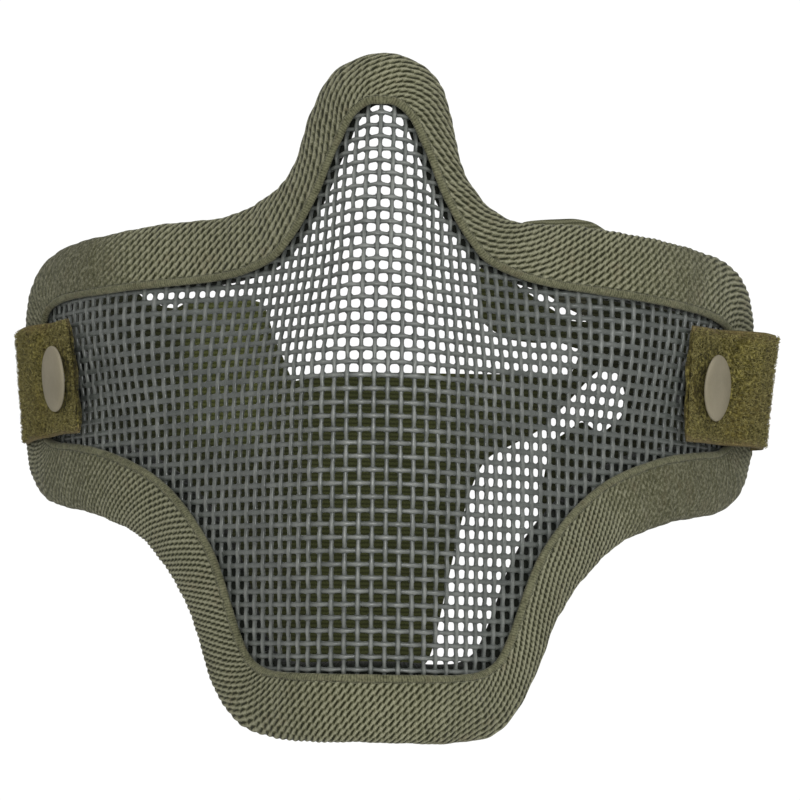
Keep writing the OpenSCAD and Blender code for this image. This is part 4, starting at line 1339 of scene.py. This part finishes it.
def painted_shade_light_at(X, Z):
    """Painted shade and light on the strap, as a factor on its colour: darkened where it lies in the mask's shade,
    least in the lobe at the left, then the middle panel, most where it nears the right tab; painted light (1.1) on the
    crest above the right wing."""
    high = np.interp(X, [-98, -80, -66, -60, -44, -38, -28, -10, 10, 28, 40, 52, 62, 98],
                     [0.18, 0.22, 0.45, 1.05, 1.20, 0.66, 0.60, 0.64, 0.62, 0.50, 0.40, 0.28, 0.16, 0.14])
    low = np.interp(X, [-98, -60, -45, -34, -25, -10, 5, 16, 30, 60, 98],
                    [0.26, 0.28, 0.30, 0.42, 0.60, 0.66, 0.60, 0.50, 0.30, 0.18, 0.16])
    t = np.clip((Z + 14) / 18, 0, 1)
    t = t * t * (3 - 2 * t)
    lit = np.clip((Z - 45.5) / 3.5, 0, 1) * (X > 0)
    tone = (low * (1 - t) + high * t) * (1 + 0.06 * np.sin(X * 0.35 + Z * 0.2))
    return tone * (1 - lit) + 1.1 * lit


def make_band(name, tops=None, lows=None, x_from=0, x_to=0, push=0.0, mat="elastic"):
    L = band_path()
    d = unit(np.gradient(L, axis=0))
    if tops is not None:
        keep = (L[:, 0] >= x_from) & (L[:, 0] <= x_to) & (L[:, 1] > BAND_Y1)
        L, d = L[keep], d[keep]
    n = len(L)
    out = np.stack([d[:, 1], -d[:, 0]], -1)
    side = L[:, 1] <= BAND_Y1 - 0.01
    T = BAND_TOP if tops is None else tops
    B = BAND_LOW if lows is None else lows
    top = np.where(side, np.interp(L[:, 1], SIDE_TOP[:, 0], SIDE_TOP[:, 1]), np.interp(L[:, 0], T[:, 0], T[:, 1]))
    low = np.where(side, -11.0, np.interp(L[:, 0], B[:, 0], B[:, 1]))
    k0 = np.hanning(9); k0 /= k0.sum()
    def soft(v):
        p = np.concatenate([np.full(4, v[0]), v, np.full(4, v[-1])])
        return np.convolve(p, k0, "valid")
    lift = np.interp(L[:, 1], BAND_LIFT[:, 0], BAND_LIFT[:, 1])
    top, low = soft(top) + lift, soft(low) + lift
    s = np.concatenate([[0], np.cumsum(np.linalg.norm(np.diff(L, axis=0), axis=1))])
    f = np.linspace(0, 1, 41)
    f = np.concatenate([[0, 0.006], f[1:-1], [0.994, 1]])
    rim = np.concatenate([[0.45, 0.9], np.ones(len(f) - 4), [0.9, 0.45]])
    half = BAND_T / 2
    Z = low[:, None] + (top - low)[:, None] * f[None]
    # loose waves of the panel, none where the patches hold it
    free = np.interp(L[:, 1], [BAND_Y1 - 25, BAND_Y1 + 20], [0, 1])[:, None]
    move = np.where(L[:, 0] > 0, -inset(1, L[:, 1]), inset(-1, L[:, 1]))[:, None]
    X = L[:, :1]
    wave = free * band_wave(X, Z) + push * np.interp(X, [x_from, x_to - 6, x_to + 1e-3], [1, 0.5, 0.12])
    def face(sign):
        o = wave + sign * half * rim[None]
        return np.stack([X + move + out[:, :1] * o, L[:, 1:] + out[:, 1:] * o, Z], -1)
    P = np.concatenate([face(1), face(-1)[:, ::-1]], 1)
    k = P.shape[1]
    ff = np.concatenate([Z, Z[:, ::-1]], 1)
    V = hung(P)
    faces, I, J = grid_faces(n, k, False, True)
    uvu = np.stack([s[I], s[I], s[I + 1], s[I + 1]], -1)
    J1 = (J + 1) % k
    uvv = np.stack([ff[I, J], ff[I, J1], ff[I + 1, J1], ff[I + 1, J]], -1)
    VV = np.concatenate([V.reshape(-1, 3), V[:1].mean(1), V[-1:].mean(1)])
    j = np.arange(k)
    t1 = np.stack([np.full(k, n * k), (j + 1) % k, j], -1)
    t2 = np.stack([np.full(k, n * k + 1), (n - 1) * k + j, (n - 1) * k + (j + 1) % k], -1)
    ob = new_mesh(name, VV, faces, np.concatenate([t1, t2]), uv=np.stack([uvu, uvv], -1))
    # painted shade and light on the strap's inner face, by its place on the strap
    painted_shade_light = painted_shade_light_at(np.repeat(X, k, 1), ff)
    # the outer face gets one even value of painted shade instead
    painted_shade_light[:, :k // 2] = 0.62 + 0.06 * np.sin(X * 0.21)
    painted_shade_light = np.concatenate([painted_shade_light.ravel(), painted_shade_light[:1].mean(1), painted_shade_light[-1:].mean(1)])
    at = ob.data.attributes.new("painted_shade_light", "FLOAT", "POINT")
    at.data.foreach_set("value", painted_shade_light.astype(np.float32))
    return dress(ob, mat, "head_strap", "elastic", "elastic_band")


make_band("strap_elastic")
make_band("strap_fold", FOLD_TOP, FOLD_LOW, 20.5, 56, -1.6)
# the crest above the right wing takes the paler copy of the elastic, as painted light
make_band("strap_crest", CREST_TOP, CREST_LOW, 27, 84, 1.2, "elastic_painted_lit")
make_band("strap_drape", DRAPE_TOP, DRAPE_LOW, 38.5, 84, 1.6)


def make_patch(side):
    """The hook tape sewn inside each end of the band, corners rounded."""
    nm = "right" if side > 0 else "left"
    ys = np.concatenate([[0, 0.4, 1.2], np.arange(2.5, PATCH_L - 2, 1.0), [PATCH_L - 1.2, PATCH_L - 0.4, PATCH_L]])
    half = PATCH_W / 2 - 1.6 + 1.6 * np.sqrt(np.clip(1 - (1 - np.minimum(ys, PATCH_L - ys) / 1.6).clip(0, 1) ** 2, 0, 1))
    t = np.linspace(-1, 1, 15)
    n, k = len(ys), 30
    y = PATCH_Y + ys[:, None] + 0 * t
    z = AXIS_Z + half[:, None] * t
    x0 = PATCH_X + 0.06 - inset(side, y)
    rim = np.where(np.abs(t) > 0.99, 0.25, 0.0)[None] + np.where((ys < 0.1) | (ys > PATCH_L - 0.1), 0.25, 0.0)[:, None]
    a = np.stack([x0 + rim.clip(0, 0.3), y, z], -1)
    b = np.stack([x0 + PATCH_T - 0.08 - rim.clip(0, 0.3), y, z], -1)[:, ::-1]
    P = np.concatenate([a, b], 1)
    P[..., 0] *= side
    faces, I, J = grid_faces(n, k, False, True)
    V = np.concatenate([P.reshape(-1, 3), P[:1].mean(1), P[-1:].mean(1)])
    j = np.arange(k)
    t1 = np.stack([np.full(k, n * k), (j + 1) % k, j], -1)
    t2 = np.stack([np.full(k, n * k + 1), (n - 1) * k + j, (n - 1) * k + (j + 1) % k], -1)
    tris = np.concatenate([t1, t2])
    if side < 0:
        faces, tris = faces[:, ::-1], tris[:, ::-1]
    return dress(new_mesh(nm + "_hook_tape", hung(V), faces, tris), "hook", "head_strap", "hook_tape", nm + "_hook_patch")


make_patch(-1)
make_patch(1)


def stitch_run(bag, pts, out, length, gap, r, lift):
    """Stitches along a line of points in space; out is the face's normal."""
    pts = np.asarray(pts, float)
    s = np.concatenate([[0], np.cumsum(np.linalg.norm(np.diff(pts, axis=0), axis=1))])
    at = lambda q: np.stack([np.interp(q, s, pts[:, c]) for c in range(3)], -1)
    a = gap / 2
    while a + length < s[-1]:
        t = np.linspace(0, 1, 5)
        P = at(a + t * length) + out * (lift * np.sin(math.pi * t))[:, None]
        rr = r * np.sqrt(np.sin(math.pi * (0.12 + 0.76 * t)))
        bag.rings(tube_rings(P, np.repeat(out[None], 5, 0), rr, rr, 6))
        a += length + gap


for side, nm in ((-1, "left"), (1, "right")):
    bag = Bag()
    x = side * (BAND_X + BAND_T / 2 + 0.02 - float(inset(side, 110.0)))
    y0, y1 = PATCH_Y + 2.3, PATCH_Y + PATCH_L - 2.3
    z0, z1 = AXIS_Z - PATCH_W / 2 + 2.3, AXIS_Z + PATCH_W / 2 - 2.3
    box = [[x, y0, z0], [x, y1, z0], [x, y1, z1], [x, y0, z1], [x, y0, z0]]
    for p, q in zip(box, box[1:]):
        stitch_run(bag, [p, q], np.array([side * 1.0, 0, 0]), 2.2, 0.5, 0.2, 0.18)
    ob = bag.ob(nm + "_patch_stitches", hung)
    dress(ob, "thread", "head_strap", "thread", nm + "_patch_stitching")

hem = Bag()
xs = np.linspace(-29, 5, 60)
ys = BAND_Y1 + BAND_BACK * np.sqrt(1 - (xs / BAND_X) ** 2) + BAND_T / 2
zs = np.interp(xs, BAND_LOW[:, 0], BAND_LOW[:, 1]) + np.interp(ys, BAND_LIFT[:, 0], BAND_LIFT[:, 1]) + 6.2
wv = band_wave(xs, zs)
stitch_run(hem, np.stack([xs, ys + wv + 0.02, zs], -1), np.array([0, 1.0, 0]), 2.2, 0.5, 0.2, 0.18)
dress(hem.ob("panel_hem_stitches", hung), "thread", "head_strap", "thread", "panel_hem_stitching")

# ------------------------------------------------------------------- stage
def stage_mat(name, c):
    n = Nodes(name)
    f = n.noise(n.pos(), 3.0, 2.0)
    return n.done(n.mix(n.span(f, 0.3, 0.7), c, tuple(v * 0.985 for v in c)), 0.9, spec=0.1)


bpy.ops.mesh.primitive_circle_add(vertices=96, radius=1.6, fill_type="NGON", location=(0, 0.05, -0.30))
floor = bpy.context.object
floor.name = "floor"
floor.data.materials.append(stage_mat("Floor_white", (0.86, 0.86, 0.85)))

scene = bpy.context.scene
world = bpy.data.worlds.new("Studio")
scene.world = world
world.use_nodes = True
wn = world.node_tree
wn.nodes.clear()
wo = wn.nodes.new("ShaderNodeOutputWorld")
bg = wn.nodes.new("ShaderNodeBackground")
wn.links.new(bg.outputs[0], wo.inputs[0])
tc = wn.nodes.new("ShaderNodeTexCoord")
sp = wn.nodes.new("ShaderNodeSeparateXYZ")
wn.links.new(tc.outputs["Generated"], sp.inputs[0])
mr = wn.nodes.new("ShaderNodeMapRange")
mr.inputs[1].default_value, mr.inputs[2].default_value = 0.80, 0.97
mr.inputs[3].default_value, mr.inputs[4].default_value = 0.50, 1.04
wn.links.new(sp.outputs[1], mr.inputs[0])
wn.links.new(mr.outputs[0], bg.inputs["Strength"])
bg.inputs["Color"].default_value = (1.0, 1.0, 1.0, 1)


def area(name, loc, at, size, power, color=(1, 1, 1)):
    d = bpy.data.lights.new(name, "AREA")
    d.shape, d.size, d.size_y = "RECTANGLE", size[0], size[1]
    d.energy, d.color = power, color
    o = bpy.data.objects.new(name, d)
    bpy.context.collection.objects.link(o)
    o.location = loc
    o.rotation_euler = (Vector(at) - Vector(loc)).to_track_quat("-Z", "Y").to_euler()
    return o


area("key_left", (-0.75, -0.85, 0.70), (0, 0, 0), (0.5, 0.5), 2.5, (1.0, 0.99, 0.97))
area("key_right", (0.85, -0.80, 0.50), (0, 0, 0), (0.5, 0.5), 4.4, (0.98, 0.99, 1.0))
area("front", (0.05, -1.05, 0.12), (0, 0, 0), (0.35, 0.30), 4.7)
area("top", (0.0, 0.0, 1.1), (0, 0, 0), (0.9, 0.7), 3.2)

# ------------------------------------------------------------------ camera
yaw, roll = math.radians(1.8), math.radians(0.8)
right = Vector((math.cos(yaw), math.sin(yaw), 0))
ahead = Vector((-math.sin(yaw), math.cos(yaw), 0))
upv = Vector((0, 0, 1))
cam_right = right * math.cos(roll) + upv * math.sin(roll)
cam_up = -right * math.sin(roll) + upv * math.cos(roll)
target = Vector((0, 0.007, -0.004))
where = target - ahead * 0.926 + right * 0.00362
cam = bpy.data.objects.new("camera", bpy.data.cameras.new("camera"))
bpy.context.collection.objects.link(cam)
cam.data.sensor_width = 36.0
cam.data.lens = 36.0 * 3712 / 800
cam.matrix_world = Matrix((
    (cam_right.x, cam_up.x, -ahead.x, where.x),
    (cam_right.y, cam_up.y, -ahead.y, where.y),
    (cam_right.z, cam_up.z, -ahead.z, where.z),
    (0, 0, 0, 1)))
cam.data.clip_start, cam.data.clip_end = 0.05, 20
scene.camera = cam
scene.view_settings.view_transform = "Standard"
scene.view_settings.look = "None"

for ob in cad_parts.values():
    if not ob.data.polygons:
        continue
    ob.data.polygons.foreach_set("use_smooth", np.zeros(len(ob.data.polygons), bool))
